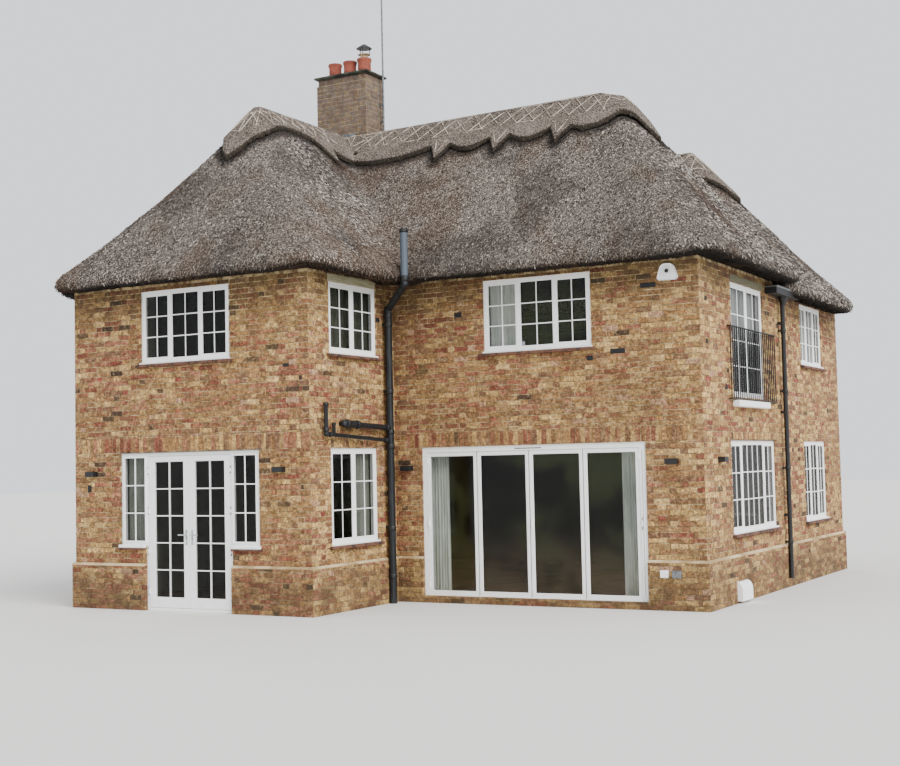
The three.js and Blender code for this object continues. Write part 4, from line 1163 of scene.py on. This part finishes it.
def laid(tree, ends, steps):
    """Points of a rod laid on the cap between plan points."""
    points = []
    for k in range(steps + 1):
        spot = Vector(ends[0]).lerp(Vector(ends[1]), k / steps)
        above = Vector((spot.x + HOUSE.x, spot.y + HOUSE.y, ABOVE_ROOF))
        hit, normal, _, _ = tree.ray_cast(above, Vector((0, 0, -1)))
        if hit is not None:
            points.append(hit + normal * 0.006)
    return points


def rods(name, lines):
    """Hazel rods along lists of points, as one piece."""
    data = bpy.data.curves.new(name, "CURVE")
    data.dimensions = "3D"
    data.bevel_depth = ROD_RADIUS
    data.bevel_resolution = 0
    data.use_fill_caps = True
    for points in lines:
        spline = data.splines.new("POLY")
        spline.points.add(len(points) - 1)
        for target, point in zip(spline.points, points):
            target.co = (*point, 1)
    line = new_object(name + "_line", data)
    seen = line.evaluated_get(bpy.context.evaluated_depsgraph_get())
    mesh = bpy.data.meshes.new_from_object(seen)
    bpy.data.objects.remove(line)
    mesh.materials.clear()
    place_piece(name, mesh, HAZEL)


def cap_rods(tree):
    """Liggers along the caps, crossed spars between them, and the pairs of rods in the points."""
    def strayed(ridge, s, reach, amount=0.018):
        shift = RANDOM.normal(0, amount, 2)
        return ridge_point(ridge, s + shift[0], reach + shift[1])
    for name, ridge in RIDGES.items():
        length = abs(ridge["to"] - ridge["end"]) + math.pi / 2 * TURN_RADIUS
        lines = []
        for side in (1, -1):
            for cell in range(int(length / SPAR_PITCH)):
                s0 = side * cell * SPAR_PITCH
                s1 = side * (cell + 1) * SPAR_PITCH
                for reach in (LIGGER_UPPER, LIGGER_LOWER):
                    if RANDOM.uniform() > LIGGER_SHOWS:
                        continue
                    ends = (strayed(ridge, s0, reach, 0.008), strayed(ridge, s1, reach, 0.008))
                    lines.append(laid(tree, ends, 2))
                for first, last in ((LIGGER_UPPER, LIGGER_LOWER), (LIGGER_LOWER, LIGGER_UPPER)):
                    lines.append(laid(tree, (strayed(ridge, s0, first), strayed(ridge, s1, last)), 4))
            for number in range(ridge["points"]):
                tip = side * (RANGE_END + number * POINT_PITCH)
                for lean in (-1, 1):
                    ends = (strayed(ridge, tip + lean * 0.11, 0.50, 0.008),
                            strayed(ridge, tip + lean * 0.012, 0.68, 0.008))
                    lines.append(laid(tree, ends, 3))
        rods(f"ridge_rods_{name}", [points for points in lines if len(points) > 1])


def roof():
    skin = thatch_skin()
    coat = place_piece("thatch_coat", skin, THATCH)
    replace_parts(coat, "thatch_wing", "thatch_front_range", "thatch_rear_range")
    covers = tree_of(cap_skins())
    # Painted shade for the coat: dark near the caps' edges and on faces that look down under the eaves.
    shade = shade_near_caps(covers, [v.co for v in skin.vertices])
    down = np.array([-v.normal.z for v in skin.vertices])
    layer = skin.attributes.new("shelter", "FLOAT", "POINT")
    shade = np.maximum(shade, np.clip((down - 0.55) * 2.5, 0, 1))
    layer.data.foreach_set("value", shade.astype(np.float32))
    straw(skin, covers)
    cap_rods(covers)


# Joinery

FRAME_WIDTH = 0.058
SASH = 0.022
BEAD = 0.006
BAR = 0.016
PANE_AT = -0.038
SASH_FRONT = -0.021
BEAD_FRONT = -0.027
SASH_LAP = 0.010
HINGE_LEVELS = (0.180, 0.760, 1.340, 1.920)
LEVER_LEVEL = 0.994
LEVER_REACH = 0.125
HALF_STILE = 0.047
FOLD_LEAVES = 4


def rim_blocks(a0, a1, z0, z1, width, depth, lap=0.0):
    """Four members round an opening, the level ones between the upright ones."""
    return [
        ((a0 - lap, a0 + width), depth, (z0 - lap, z1 + lap)),
        ((a1 - width, a1 + lap), depth, (z0 - lap, z1 + lap)),
        ((a0 + width, a1 - width), depth, (z0 - lap, z0 + width)),
        ((a0 + width, a1 - width), depth, (z1 - width, z1 + lap)),
    ]


def bar_blocks(a0, a1, z0, z1, columns, rows, depth):
    """Glazing bars that divide an opening; the level ones stand a hair further back."""
    blocks = []
    for column in range(1, columns):
        a = a0 + (a1 - a0) * column / columns
        blocks.append(((a - BAR / 2, a + BAR / 2), depth, (z0, z1)))
    back = (depth[0] + 0.0007, depth[1] - 0.0012)
    for row in range(1, rows):
        z = z0 + (z1 - z0) * row / rows
        blocks.append(((a0, a1), back, (z - BAR / 2, z + BAR / 2)))
    return blocks


def sash_blocks(a0, a1, z0, z1, columns, rows, fixed):
    """A light's sash or beads and its glazing bars, between the frame's members."""
    width, front, lap = (BEAD, BEAD_FRONT, 0) if fixed else (SASH, SASH_FRONT, SASH_LAP)
    back = PANE_AT + 0.001
    inner = (a0 + width, a1 - width, z0 + width, z1 - width)
    return (rim_blocks(a0, a1, z0, z1, width, (back, front), lap)
            + bar_blocks(*inner, columns, rows, (back, BEAD_FRONT)))


def window_bars():
    for node, (wall, shares, columns, rows, fixed) in WINDOWS.items():
        a0, a1, z0, z1 = opening_of(node)
        blocks = []
        for i, count in enumerate(columns):
            left = a0 + FRAME_WIDTH if i == 0 else a0 + (a1 - a0) * shares[i] + FRAME_WIDTH / 2
            last = i == len(columns) - 1
            right = a1 - FRAME_WIDTH if last else a0 + (a1 - a0) * shares[i + 1] - FRAME_WIDTH / 2
            blocks += sash_blocks(left, right, z0 + FRAME_WIDTH, z1 - FRAME_WIDTH, count, rows, i in fixed)
        boxes(f"sashes_{node}", blocks, PAINT, wall_frame(wall), 0.0025)


def window_sills():
    """A sill under each window, and the tiles beneath it."""
    for node, data in WINDOWS.items():
        if node == "upper_door":
            continue
        a0, a1, z0, _ = opening_of(node)
        at = wall_frame(data[0])
        boxes(f"sill_{node}", [((a0 - 0.014, a1 + 0.014), (-0.045, 0.030), (z0 - 0.020, z0 + 0.008))],
              PAINT, at, 0.005)
        tiles = []
        start, end = a0 - 0.070, a1 + 0.070
        count = round((end - start) / 0.165)
        pitch = (end - start) / count
        for i in range(count):
            tiles.append(((start + i * pitch + 0.002, start + (i + 1) * pitch - 0.002), (-0.02, 0.066),
                          (z0 - 0.062, z0 - 0.022)))
        boxes(f"sill_tiles_{node}", tiles, TILE, at, 0.004)


def lintels():
    boards = {
        "upper_door": ("east", 1.330, 2.925, 4.449, 4.555),
        "wing_side_upper": ("wing_side", -1.740, -0.505, 4.537, 4.640),
    }
    for name, (wall, a0, a1, z0, z1) in boards.items():
        boxes(f"lintel_{name}", [((a0, a1), (-0.03, 0.012), (z0, z1))], TIMBER, wall_frame(wall), 0.004)
    drip = ((FRENCH_LEFT - 0.05, FRENCH_RIGHT + 0.05), (-0.03, 0.016),
            (FRENCH_TOP + 0.001, FRENCH_TOP + 0.011))
    boxes("drip_strip_french_doors", [drip], STEEL, wall_frame("wing_front"), 0.002)
    boxes("lintel_strip_east_lower", [((1.10, 3.39), (-0.03, 0.010), (2.172, 2.183))],
          TILE, wall_frame("east"), 0.002)


def node_span(node):
    low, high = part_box(node)
    return low - HOUSE, high - HOUSE


LEAVES = {"left": "french_door_leaf_left", "right": "french_door_leaf_right"}


def french_bars():
    """Glazing bars and beads of the French doors, before and behind the glass."""
    for side, body in LEAVES.items():
        low, high = node_span(f"french_door_{side}_glass")
        faces = [(WING_FRONT - high.y - 0.008, WING_FRONT - high.y + 0.001),
                 (WING_FRONT - low.y - 0.001, WING_FRONT - low.y + 0.009)]
        blocks = []
        for depth in faces:
            blocks += rim_blocks(low.x, high.x, low.z, high.z, 0.009, depth)
            blocks += bar_blocks(low.x + 0.009, high.x - 0.009, low.z + 0.009, high.z - 0.009, 2, 5, depth)
        boxes(f"bars_french_door_{side}", blocks, PAINT, wall_frame("wing_front"), 0.002, body)


def sidelights():
    """A sash with six panes and a projecting sill on each side of the French doors."""
    at = wall_frame("wing_front")
    jambs = {"left": (FRENCH_LEFT, SIDELIGHT, -1), "right": (FRENCH_RIGHT, -SIDELIGHT, 1)}
    for side, (jamb, inward, sign) in jambs.items():
        low, high = node_span(f"sidelight_glass_{side}")
        out = WING_FRONT - low.y
        width = 0.021
        blocks = rim_blocks(low.x, high.x, low.z, high.z, width, (out + 0.0005, out + 0.030))
        blocks += bar_blocks(low.x + width, high.x - width, low.z + width, high.z - width, 2, 3,
                             (out + 0.0005, out + 0.018))
        boxes(f"sashes_sidelight_{side}", blocks, PAINT, at, 0.0025)
        sill = (sorted((jamb + sign * 0.02, jamb + inward)), (-0.06, 0.045),
                (SIDELIGHT_SILL - 0.036, SIDELIGHT_SILL + 0.008))
        boxes(f"sill_sidelight_{side}", [sill], PAINT, at, 0.006)
        tile = (sorted((jamb + sign * 0.05, jamb + inward)), (-0.02, 0.058),
                (SIDELIGHT_SILL - 0.062, SIDELIGHT_SILL - 0.038))
        boxes(f"sill_tiles_sidelight_{side}", [tile], TILE, at, 0.004)


def french_hinges():
    """Caps at both ends of each hinge's pin, which show dark against the paint; their black also stands for
    the shadow lines at the hinge, as painted shade.
    """
    for side, body in LEAVES.items():
        leaf_low, leaf_high = node_span(f"french_door_{side}")
        x = leaf_low.x - 0.0025 if side == "left" else leaf_high.x + 0.0025
        bm = bmesh.new()
        for z in HINGE_LEVELS:
            for level in (z - 0.040, z + 0.040):
                bmesh.ops.create_cone(bm, cap_ends=True, segments=12, radius1=0.0088, radius2=0.0070,
                                      depth=0.026, matrix=in_house(x, WING_FRONT + 0.012, level))
        soften(bm, 0.001)
        piece(f"hinge_caps_french_door_{side}", bm, IRON, body)


def french_levers():
    """A plate and a lever on each leaf's meeting stile."""
    for side, body in LEAVES.items():
        sign = -1 if side == "left" else 1
        low, high = node_span(f"french_door_{side}_glass")
        stile = high.x + HALF_STILE if side == "left" else low.x - HALF_STILE
        face = WING_FRONT + 0.020
        bm = bmesh.new()
        handle = sorted((stile, stile + sign * LEVER_REACH))
        add_box(bm, HOUSE_FRAME, (stile - 0.016, stile + 0.016), (face - 0.006, face + 0.001), (0.850, 1.070))
        add_box(bm, HOUSE_FRAME, handle, (face - 0.048, face - 0.034),
                (LEVER_LEVEL - 0.009, LEVER_LEVEL + 0.009))
        soften(bm, 0.003, 2)
        bmesh.ops.create_cone(bm, cap_ends=True, segments=16, radius1=0.010, radius2=0.009, depth=0.046,
                              matrix=in_house(stile, face - 0.026, LEVER_LEVEL)
                              @ Matrix.Rotation(math.radians(90), 4, "X"))
        piece(f"lever_french_door_{side}", bm, LEVER, body)


def folding_leaves():
    """The corners of the folding leaves together, how far their face stands out, and one leaf's width."""
    low, high = node_span("folding_door_leaves")
    return low, high, -low.y, (high.x - low.x) / FOLD_LEAVES


def folding_door_seals():
    """Rubber between the leaves and round them, and the vent slot in the frame's head."""
    low, high, face, width = folding_leaves()
    across = (face - 0.008, face + 0.0015)
    upright = (low.z, high.z)
    seals = [((low.x, high.x), across, (high.z - 0.003, high.z + 0.009))]
    for i in range(1, FOLD_LEAVES):
        x = low.x + i * width
        seals.append(((x - 0.0045, x + 0.0045), across, upright))
    seals.append(((low.x - 0.003, low.x + 0.003), across, upright))
    seals.append(((high.x - 0.005, high.x + 0.005), across, upright))
    seals.append(((high.x + 0.036, high.x + 0.041), (face, -0.0185), (low.z + 0.04, high.z - 0.04)))
    at = wall_frame("front")
    boxes("seals_folding_door", seals, RUBBER, at, 0.0008)
    boxes("vent_slot_folding_door", [((-2.835, -2.407), (-0.022, -0.017), (2.122, 2.138))], STEEL, at, 0.001)


def folding_door_beads():
    low, _, face, width = folding_leaves()
    glass_low, glass_high = node_span("folding_door_glass")
    beads = []
    for i in range(FOLD_LEAVES):
        a0 = low.x + i * width + FOLD_STILE
        beads += rim_blocks(a0, a0 + width - 2 * FOLD_STILE, glass_low.z, glass_high.z, 0.007,
                            (0.0005 - glass_low.y, face - 0.004))
    boxes("beads_folding_door", beads, PAINT, wall_frame("front"), 0.002)


def folding_door_fittings():
    """Flat handles on their plates, and hinge blocks low and high."""
    low, high, face, width = folding_leaves()
    blocks = []
    for x in (low.x + 0.020, low.x + 2 * width + 0.030, high.x + 0.022):
        blocks.append(((x - 0.011, x + 0.011), (face, face + 0.010), (0.97, 1.15)))
        blocks.append(((x - 0.008, x + 0.008), (face + 0.006, face + 0.026), (1.02, 1.10)))
    for x in (low.x + 0.004, low.x + 2 * width - 0.02, high.x - 0.004):
        for z in (0.16, 1.98):
            blocks.append(((x - 0.013, x + 0.013), (face, face + 0.014), (z - 0.04, z + 0.04)))
    boxes("fittings_folding_door", blocks, PAINT, wall_frame("front"))


def curtain(name, wall, a0, a1, z0, z1, out, folds, cloth, depth=0.022):
    """A gathered curtain: a wavy sheet, out from its wall, that hangs from a rail."""
    columns = folds * 8
    rows = 6
    bm = bmesh.new()
    sheet = bmesh.ops.create_grid(bm, x_segments=columns, y_segments=rows, size=0.5)["verts"]
    for v in sheet:
        u = v.co.x + 0.5
        t = v.co.y + 0.5
        wave = math.sin(u * folds * 2 * math.pi + 0.5 * math.sin(9 * u))
        swell = 0.65 + 0.35 * (1 - t)
        v.co = Vector((a0 + (a1 - a0) * u, out + depth * swell * wave, z0 + (z1 - z0) * t))
    bmesh.ops.transform(bm, matrix=wall_frame(wall), verts=bm.verts)
    area = sum(f.calc_area() for f in bm.faces)
    cloth_piece = piece(name, bm, cloth, smooth=True)
    area / (z1 - z0)
    z1 - z0


def curtains():
    rail = boxes("curtain_rail_folding_door", [((-4.30, -0.90), (-0.235, -0.215), (2.150, 2.170))], STEEL,
                 wall_frame("front"), 0.003)
    curtain("curtain_folding_left", "front", -4.310, -4.020, 0.020, 2.150, -0.225, 6, GREEN_CLOTH)
    curtain("curtain_folding_right", "front", -1.270, -1.040, 0.020, 2.150, -0.225, 5, GREEN_CLOTH)
    places = {
        "upper_door": ("east", 1.400, 2.880, 2.830, 4.400, 9, DOOR_CLOTH),
        "east_rear_upper": ("east", 5.050, 6.350, 3.480, 4.400, 11, WHITE_CLOTH),
        "front_upper": ("front", -3.240, -2.760, 3.560, 4.530, 5, GREEN_CLOTH),
        "sidelight": ("wing_front", -8.210, -7.770, 0.860, 2.130, 4, NET_CLOTH),
        "wing_side_lower": ("wing_side", -1.020, -0.530, 0.870, 2.140, 5, NET_CLOTH),
        "wing_side_upper": ("wing_side", -1.690, -0.500, 3.560, 4.490, 10, DIM_CLOTH),
        "north_lower": ("north", -3.170, -1.530, 0.900, 2.120, 13, WHITE_CLOTH),
    }
    for name, (wall, a0, a1, z0, z1, folds, cloth) in places.items():
        bar = ((a0 - 0.01, a1 + 0.01), (-0.142, -0.130), (z1, z1 + 0.016))
        rail = boxes(f"curtain_rail_{name}", [bar], STEEL, wall_frame(wall))
        curtain(f"curtain_{name}", wall, a0 + 0.01, a1 - 0.01, z0, z1, -0.136, folds, cloth, 0.013)


# Fittings

def wall_lights():
    """Slim black boxes that light the wall up and down."""
    spots = {
        "wing_left": ("wing_front", -8.770, 1.890),
        "wing_right": ("wing_front", -5.320, 1.905),
        "front_left": ("front", -4.595, 1.875),
        "front_right": ("front", -0.440, 1.900),
        "east": ("east", 0.640, 1.910),
    }
    for name, (wall, a, z) in spots.items():
        at = wall_frame(wall)
        bm = bmesh.new()
        add_box(bm, at, (a - 0.085, a + 0.085), (0.006, 0.105), (z - 0.036, z + 0.036))
        add_box(bm, at, (a - 0.065, a + 0.065), (0.000, 0.010), (z - 0.030, z + 0.030))
        for edge in (-0.036, 0.033):
            add_box(bm, at, (a - 0.070, a + 0.070), (0.020, 0.092), (z + edge - 0.002, z + edge + 0.005))
        soften(bm, 0.004, 2)
        piece(f"wall_light_{name}", bm, IRON)


def wall_vents():
    """Vents and a bell's box, each a plate with slats: its wall, middle, half width and half height."""
    vents = {
        "bell_box": ("wing_front", -8.850, 1.675, 0.035, 0.050),
        "vent_front_left": ("front", -3.692, 4.111, 0.060, 0.036),
        "vent_front_sill": ("front", -1.608, 3.360, 0.045, 0.033),
        "vent_front_right": ("front", -1.190, 3.434, 0.108, 0.033),
        "vent_front_eave": ("front", -0.720, 4.310, 0.108, 0.033),
        "vent_wing": ("wing_front", -5.202, 3.343, 0.050, 0.022),
        "vent_side": ("wing_side", -0.444, 4.081, 0.050, 0.030),
        "vent_east_high": ("east", 0.247, 4.099, 0.035, 0.030),
        "vent_east_low": ("east", 0.250, 3.514, 0.035, 0.030),
        "vent_east_door": ("east", 1.025, 2.918, 0.045, 0.030),
    }
    for name, (wall, a, z, half, rise) in vents.items():
        blocks = [((a - half, a + half), (0.002, 0.011), (z - rise, z + rise))]
        slats = max(2, round(rise / 0.010))
        for i in range(slats):
            level = z - rise + (i + 0.5) * 2 * rise / slats
            slat = (a - half * 0.85, a + half * 0.85)
            blocks.append((slat, (0.009, 0.015), (level - 0.003, level + 0.003)))
        boxes(name, blocks, RUBBER, wall_frame(wall), 0.0015)


def outdoor_sockets():
    at = wall_frame("front")
    boxes("outdoor_socket_left", [((-0.640, -0.530), (0.040, 0.095), (0.340, 0.440))], PAINT, at, 0.008)
    boxes("outdoor_socket_right", [((-0.470, -0.345), (0.040, 0.095), (0.335, 0.440))], STEEL, at, 0.008)


def meter_cover():
    """A low white cover with a rounded lid, at the foot of the east wall."""
    a0, a1, back, deep, foot, top = 1.100, 1.560, 0.036, 0.090, -0.070, 0.200
    lid = 0.12
    section = [(back, foot), (back + deep, foot)]
    for step in range(9):
        angle = step / 8 * math.pi / 2
        section.append((back + deep * math.cos(angle), top - lid + lid * math.sin(angle)))
    bm = bmesh.new()
    drawn_out(bm, section, a0, a1)
    bmesh.ops.transform(bm, matrix=wall_frame("east"), verts=bm.verts)
    soften(bm, 0.004)
    piece("meter_cover", bm, PAINT)


def alarm_box():
    """A rounded triangular box under the eaves, with a dark lens below its middle."""
    at = wall_frame("front")
    middle_a, middle_z = -0.426, 4.452
    bm = bmesh.new()
    corners = [(-0.158, -0.100), (0.158, -0.100), (0.088, 0.125), (-0.088, 0.125)]
    ring = [bm.verts.new((middle_a + a, 0.0, middle_z + z)) for a, z in corners]
    bm.faces.new(ring)
    bmesh.ops.bevel(bm, geom=ring, offset=0.060, segments=8, profile=0.5, affect="VERTICES", material=-1)
    grown = bmesh.ops.extrude_face_region(bm, geom=bm.faces[:])
    top = [g for g in grown["geom"] if isinstance(g, bmesh.types.BMFace)]
    bmesh.ops.translate(bm, vec=(0, 0.055, 0), verts=[v for f in top for v in f.verts])
    bmesh.ops.inset_region(bm, faces=top, thickness=0.018, depth=0.014)
    bmesh.ops.transform(bm, matrix=at, verts=bm.verts)
    piece("alarm_box", bm, PAINT)
    lens = bmesh.new()
    bmesh.ops.create_uvsphere(lens, u_segments=20, v_segments=10, radius=0.028,
                              matrix=at @ Matrix.Translation((middle_a, 0.066, middle_z + 0.022))
                              @ Matrix.Diagonal((1, 0.5, 1, 1)))
    piece("alarm_lens", lens, RUBBER, smooth=True)


def spun(bm, at, profile, steps):
    """Turns a closed profile of radii and heights about the z axis of a frame."""
    verts = [bm.verts.new(at @ Vector((r, 0, z))) for r, z in profile]
    edges = [bm.edges.new((verts[i], verts[(i + 1) % len(verts)])) for i in range(len(verts))]
    axis = (at.to_3x3() @ Vector((0, 0, 1))).normalized()
    bmesh.ops.spin(bm, geom=edges + verts, cent=at.to_translation(), axis=axis, dvec=(0, 0, 0),
                   angle=math.tau, steps=steps, use_merge=True, use_duplicate=False)


def collar(bm, at, radius, height):
    """A ring round a pipe that stands along the frame's z axis, its middle at the frame's origin."""
    lip = radius + 0.004
    swell = radius + 0.008
    half = height / 2
    spun(bm, at, [(radius * 0.9, -half), (lip, -half), (swell, -half / 2), (swell, half / 2), (lip, half),
                  (radius * 0.9, half)], 24)


# Plan of the pipes that stand upright, and their radius
SOIL_PIPE = (-4.722, -0.290)
VENT_PIPE = (-4.262, -0.560)
DOWNPIPE = (0.084, 3.720)
PIPE_RADIUS = 0.055


def soil_pipe_collars():
    """Collars on the upright pipes, and along the wastes that slope down to them."""
    bm = bmesh.new()
    for z in (0.30, 1.000, 2.210, 2.420, 3.020, 4.020, 4.150):
        collar(bm, in_house(*SOIL_PIPE, z), PIPE_RADIUS, 0.075)
    collar(bm, in_house(*VENT_PIPE, 4.640), PIPE_RADIUS, 0.085)
    x = WING_RIGHT + 0.075
    bath = (Vector((x, -1.480, 2.530)), Vector((*SOIL_PIPE, 2.480)))
    sink = (Vector((x, -1.930, 2.380)), Vector((*SOIL_PIPE, 2.290)))
    stub = (Vector((x, -1.930, 2.800)), Vector((x, -1.930, 2.380)))
    waste = (Vector((x, -1.740, 2.530)), Vector((x, -1.740, 2.370)))
    for (start, end), share, radius, height in ((bath, 0.06, 0.054, 0.060), (bath, 0.27, 0.054, 0.050),
                                                (bath, 0.93, 0.042, 0.070), (sink, 0.06, 0.030, 0.060),
                                                (sink, 0.93, 0.030, 0.060), (stub, 0.02, 0.030, 0.045),
                                                (stub, 0.86, 0.032, 0.060), (waste, 0.05, 0.025, 0.040)):
        turn = (end - start).to_track_quat("Z", "Y").to_matrix().to_4x4()
        collar(bm, Matrix.Translation(HOUSE + start.lerp(end, share)) @ turn, radius, height)
    piece("soil_pipe_collars", bm, IRON, smooth=True)


def vent_pipe_cap():
    cap = bmesh.new()
    collar(cap, in_house(*VENT_PIPE, 5.345), PIPE_RADIUS, 0.060)
    bmesh.ops.create_uvsphere(cap, u_segments=20, v_segments=8, radius=0.058,
                              matrix=in_house(*VENT_PIPE, 5.355) @ Matrix.Diagonal((1, 1, 0.5, 1)))
    piece("vent_pipe_cap", cap, IRON, smooth=True)


def downpipe_clips():
    clips = bmesh.new()
    for z in (0.60, 1.75, 2.95, 3.90):
        collar(clips, in_house(*DOWNPIPE, z), 0.036, 0.070)
        add_box(clips, HOUSE_FRAME, (0.005, DOWNPIPE[0]), (3.675, 3.765), (z - 0.014, z + 0.014))
    piece("downpipe_clips", clips, IRON)


def eaves_and_sill_boxes():
    """The rim of the rain hopper at the east eaves, and the box under the upper door's sill."""
    rim = [((0.002, 0.196), (3.054, 4.306), (4.526, 4.548)), ((0.150, 0.198), (3.10, 4.00), (4.545, 4.556))]
    boxes("hopper_rim", rim, STEEL, bevel=0.004)
    boxes("sill_box_upper_door", [((0.002, 0.118), (1.290, 2.790), (2.650, 2.742))], PAINT, bevel=0.012)


def chimney_pots():
    """Turned pots; the lined one holds the cream liner that carries the cowl."""
    low, high = node_span("chimney_pots")
    y = (low.y + high.y) / 2
    foot = CAP_TOP + 0.02
    bm = bmesh.new()
    for x, radius, rim, lined in POTS:
        bore = radius - 0.026
        profile = [(bore, foot), (radius, foot), (radius - 0.004, foot + 0.10),
                   (radius - 0.004, rim - 0.075), (radius + 0.002, rim - 0.055),
                   (radius + 0.009, rim - 0.035),
                   (radius + 0.012, rim - 0.012), (radius + 0.008, rim - 0.001), (radius - 0.002, rim)]
        if lined:
            profile += [(0.068, rim), (0.064, rim + 0.008), (0.064, LINER_TOP - 0.008),
                        (0.106, LINER_TOP - 0.007), (0.106, LINER_TOP), (0.050, LINER_TOP),
                        (0.050, rim - 0.030), (bore, rim - 0.032)]
        else:
            profile += [(radius - 0.022, rim - 0.004), (bore, rim - 0.015)]
        spun(bm, in_house(x, y, 0), profile, 40)
    made = piece("turned_chimney_pots", bm, TERRACOTTA, smooth=True)
    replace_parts(made, "chimney_pots")


def flaunching():
    """The bed of cement round the pots' feet, which falls away to its edges."""
    x, y = (STACK_X[0] + 0.02, STACK_X[1] - 0.02), (STACK_Y[0] + 0.10, STACK_Y[1] - 0.10)
    slope = 0.10
    bed = bmesh.new()
    add_box(bed, HOUSE_FRAME, x, y, (CAP_TOP - 0.003, CAP_TOP + 0.052))
    bmesh.ops.subdivide_edges(bed, edges=bed.edges, cuts=6, use_grid_fill=True)
    for v in bed.verts:
        at = v.co - HOUSE
        inside = min(at.x - x[0], x[1] - at.x, at.y - y[0], y[1] - at.y, slope)
        if at.z > CAP_TOP:
            v.co.z -= 0.040 * (1 - inside / slope)
            v.co.z += 0.005 * noise.noise(v.co * 18)
    piece("flaunching", bed, CEMENT, smooth=True)


def chimney_flashing():
    """The mortar skirt round the stack's foot, and the metal apron in front of it."""
    wide, deep = stack_span(0.012)
    skirt = (7.30, 7.58)
    out, inward = 0.014, 0.002
    strips = [(wide, (STACK_Y[0] - out, STACK_Y[0] + inward), skirt),
              (wide, (STACK_Y[1] - inward, STACK_Y[1] + out), skirt),
              ((STACK_X[0] - out, STACK_X[0] + inward), deep, skirt),
              ((STACK_X[1] - inward, STACK_X[1] + out), deep, skirt)]
    boxes("chimney_flashing", strips, FILLET, bevel=0.004)
    apron = ((-7.08, -6.70), (STACK_Y[0] - 0.022, STACK_Y[0] - 0.012), (7.44, 7.625))
    boxes("chimney_apron", [apron], STEEL)


def chimney_slab():
    """The cement slab on the stack, thin at its rim and sloped below."""
    rings = [(-0.060, CAP_FOOT), (-0.018, CAP_FOOT), (0.030, CAP_FOOT + 0.022), (0.037, CAP_FOOT + 0.030),
             (0.037, CAP_TOP - 0.010), (0.030, CAP_TOP), (-0.060, CAP_TOP)]
    bm = bmesh.new()
    loops = []
    for out, z in rings:
        (x0, x1), (y0, y1) = stack_span(out)
        corners = ((x0, y0), (x1, y0), (x1, y1), (x0, y1))
        loops.append([bm.verts.new(HOUSE_FRAME @ Vector((x, y, z))) for x, y in corners])
    for lower, upper in zip(loops, loops[1:]):
        for i in range(4):
            bm.faces.new((lower[i], lower[(i + 1) % 4], upper[(i + 1) % 4], upper[i]))
    bm.faces.new(loops[0][::-1])
    bm.faces.new(loops[-1])
    long_edges = [e for e in bm.edges if e.calc_length() > 0.3]
    bmesh.ops.subdivide_edges(bm, edges=long_edges, cuts=12, use_grid_fill=True)
    for v in bm.verts:
        v.co.z += 0.003 * noise.noise(v.co * 7)
    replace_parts(piece("weathered_chimney_cap", bm, CEMENT), "chimney_cap")


# Studio

FLOOR_REACH = 90
FLOOR_DROP = 0.002
SKY = (0.93, 0.95, 1.0, 1.0)
SKY_STRENGTH = 1.42
SUN_STRENGTH = 4.1
SUN_WIDTH = math.radians(40)
SUN_TILT = math.radians(52)
SUN_TURN = math.radians(68)


def studio_floor():
    bm = bmesh.new()
    bmesh.ops.create_grid(bm, x_segments=1, y_segments=1, size=FLOOR_REACH)
    mesh = bpy.data.meshes.new("studio_floor")
    bm.to_mesh(mesh)
    bm.free()
    f = Finish("studio_floor", roughness=0.9, specular=0.1)
    f.finish(base_color=f.mix(f.grain(0.4, 2), 0xd6d4cf, 0xdedcd8))
    mesh.materials.append(f.material)
    obj = new_object("studio_floor", mesh)
    obj.location.z = -FLOOR_DROP


def camera():
    forward = Vector((-math.sin(YAW) * math.cos(PITCH), math.cos(YAW) * math.cos(PITCH), math.sin(PITCH)))
    level = Vector((math.cos(YAW), math.sin(YAW), 0))
    over = level.cross(forward)
    right = math.cos(ROLL) * level - math.sin(ROLL) * over
    up = math.sin(ROLL) * level + math.cos(ROLL) * over
    data = bpy.data.cameras.new("camera")
    data.sensor_width = SENSOR
    data.lens = FOCAL_PX / IMAGE_WIDTH * SENSOR
    data.clip_end = 200
    eye = new_object("camera", data)
    turn = Matrix((right, up, -forward)).transposed().to_4x4()
    eye.matrix_world = Matrix.Translation(CAMERA_AT) @ turn
    bpy.context.scene.camera = eye


def light():
    world = bpy.data.worlds.new("studio")
    bpy.context.scene.world = world
    world.use_nodes = True
    sky = world.node_tree.nodes["Background"].inputs
    sky["Color"].default_value = SKY
    sky["Strength"].default_value = SKY_STRENGTH
    key = new_object("key", bpy.data.lights.new("key", "SUN"))
    key.data.energy = SUN_STRENGTH
    key.data.angle = SUN_WIDTH
    key.rotation_euler = (SUN_TILT, 0, SUN_TURN)


camera()
node_finishes()
brick_walls()
chimney_bricks()
plinth_fillets()
roof()
window_bars()
window_sills()
lintels()
french_bars()
sidelights()
french_hinges()
french_levers()
folding_door_seals()
folding_door_beads()
folding_door_fittings()
curtains()
wall_lights()
wall_vents()
outdoor_sockets()
meter_cover()
alarm_box()
soil_pipe_collars()
vent_pipe_cap()
downpipe_clips()
eaves_and_sill_boxes()
chimney_pots()
flaunching()
chimney_flashing()
chimney_slab()
studio_floor()
light()
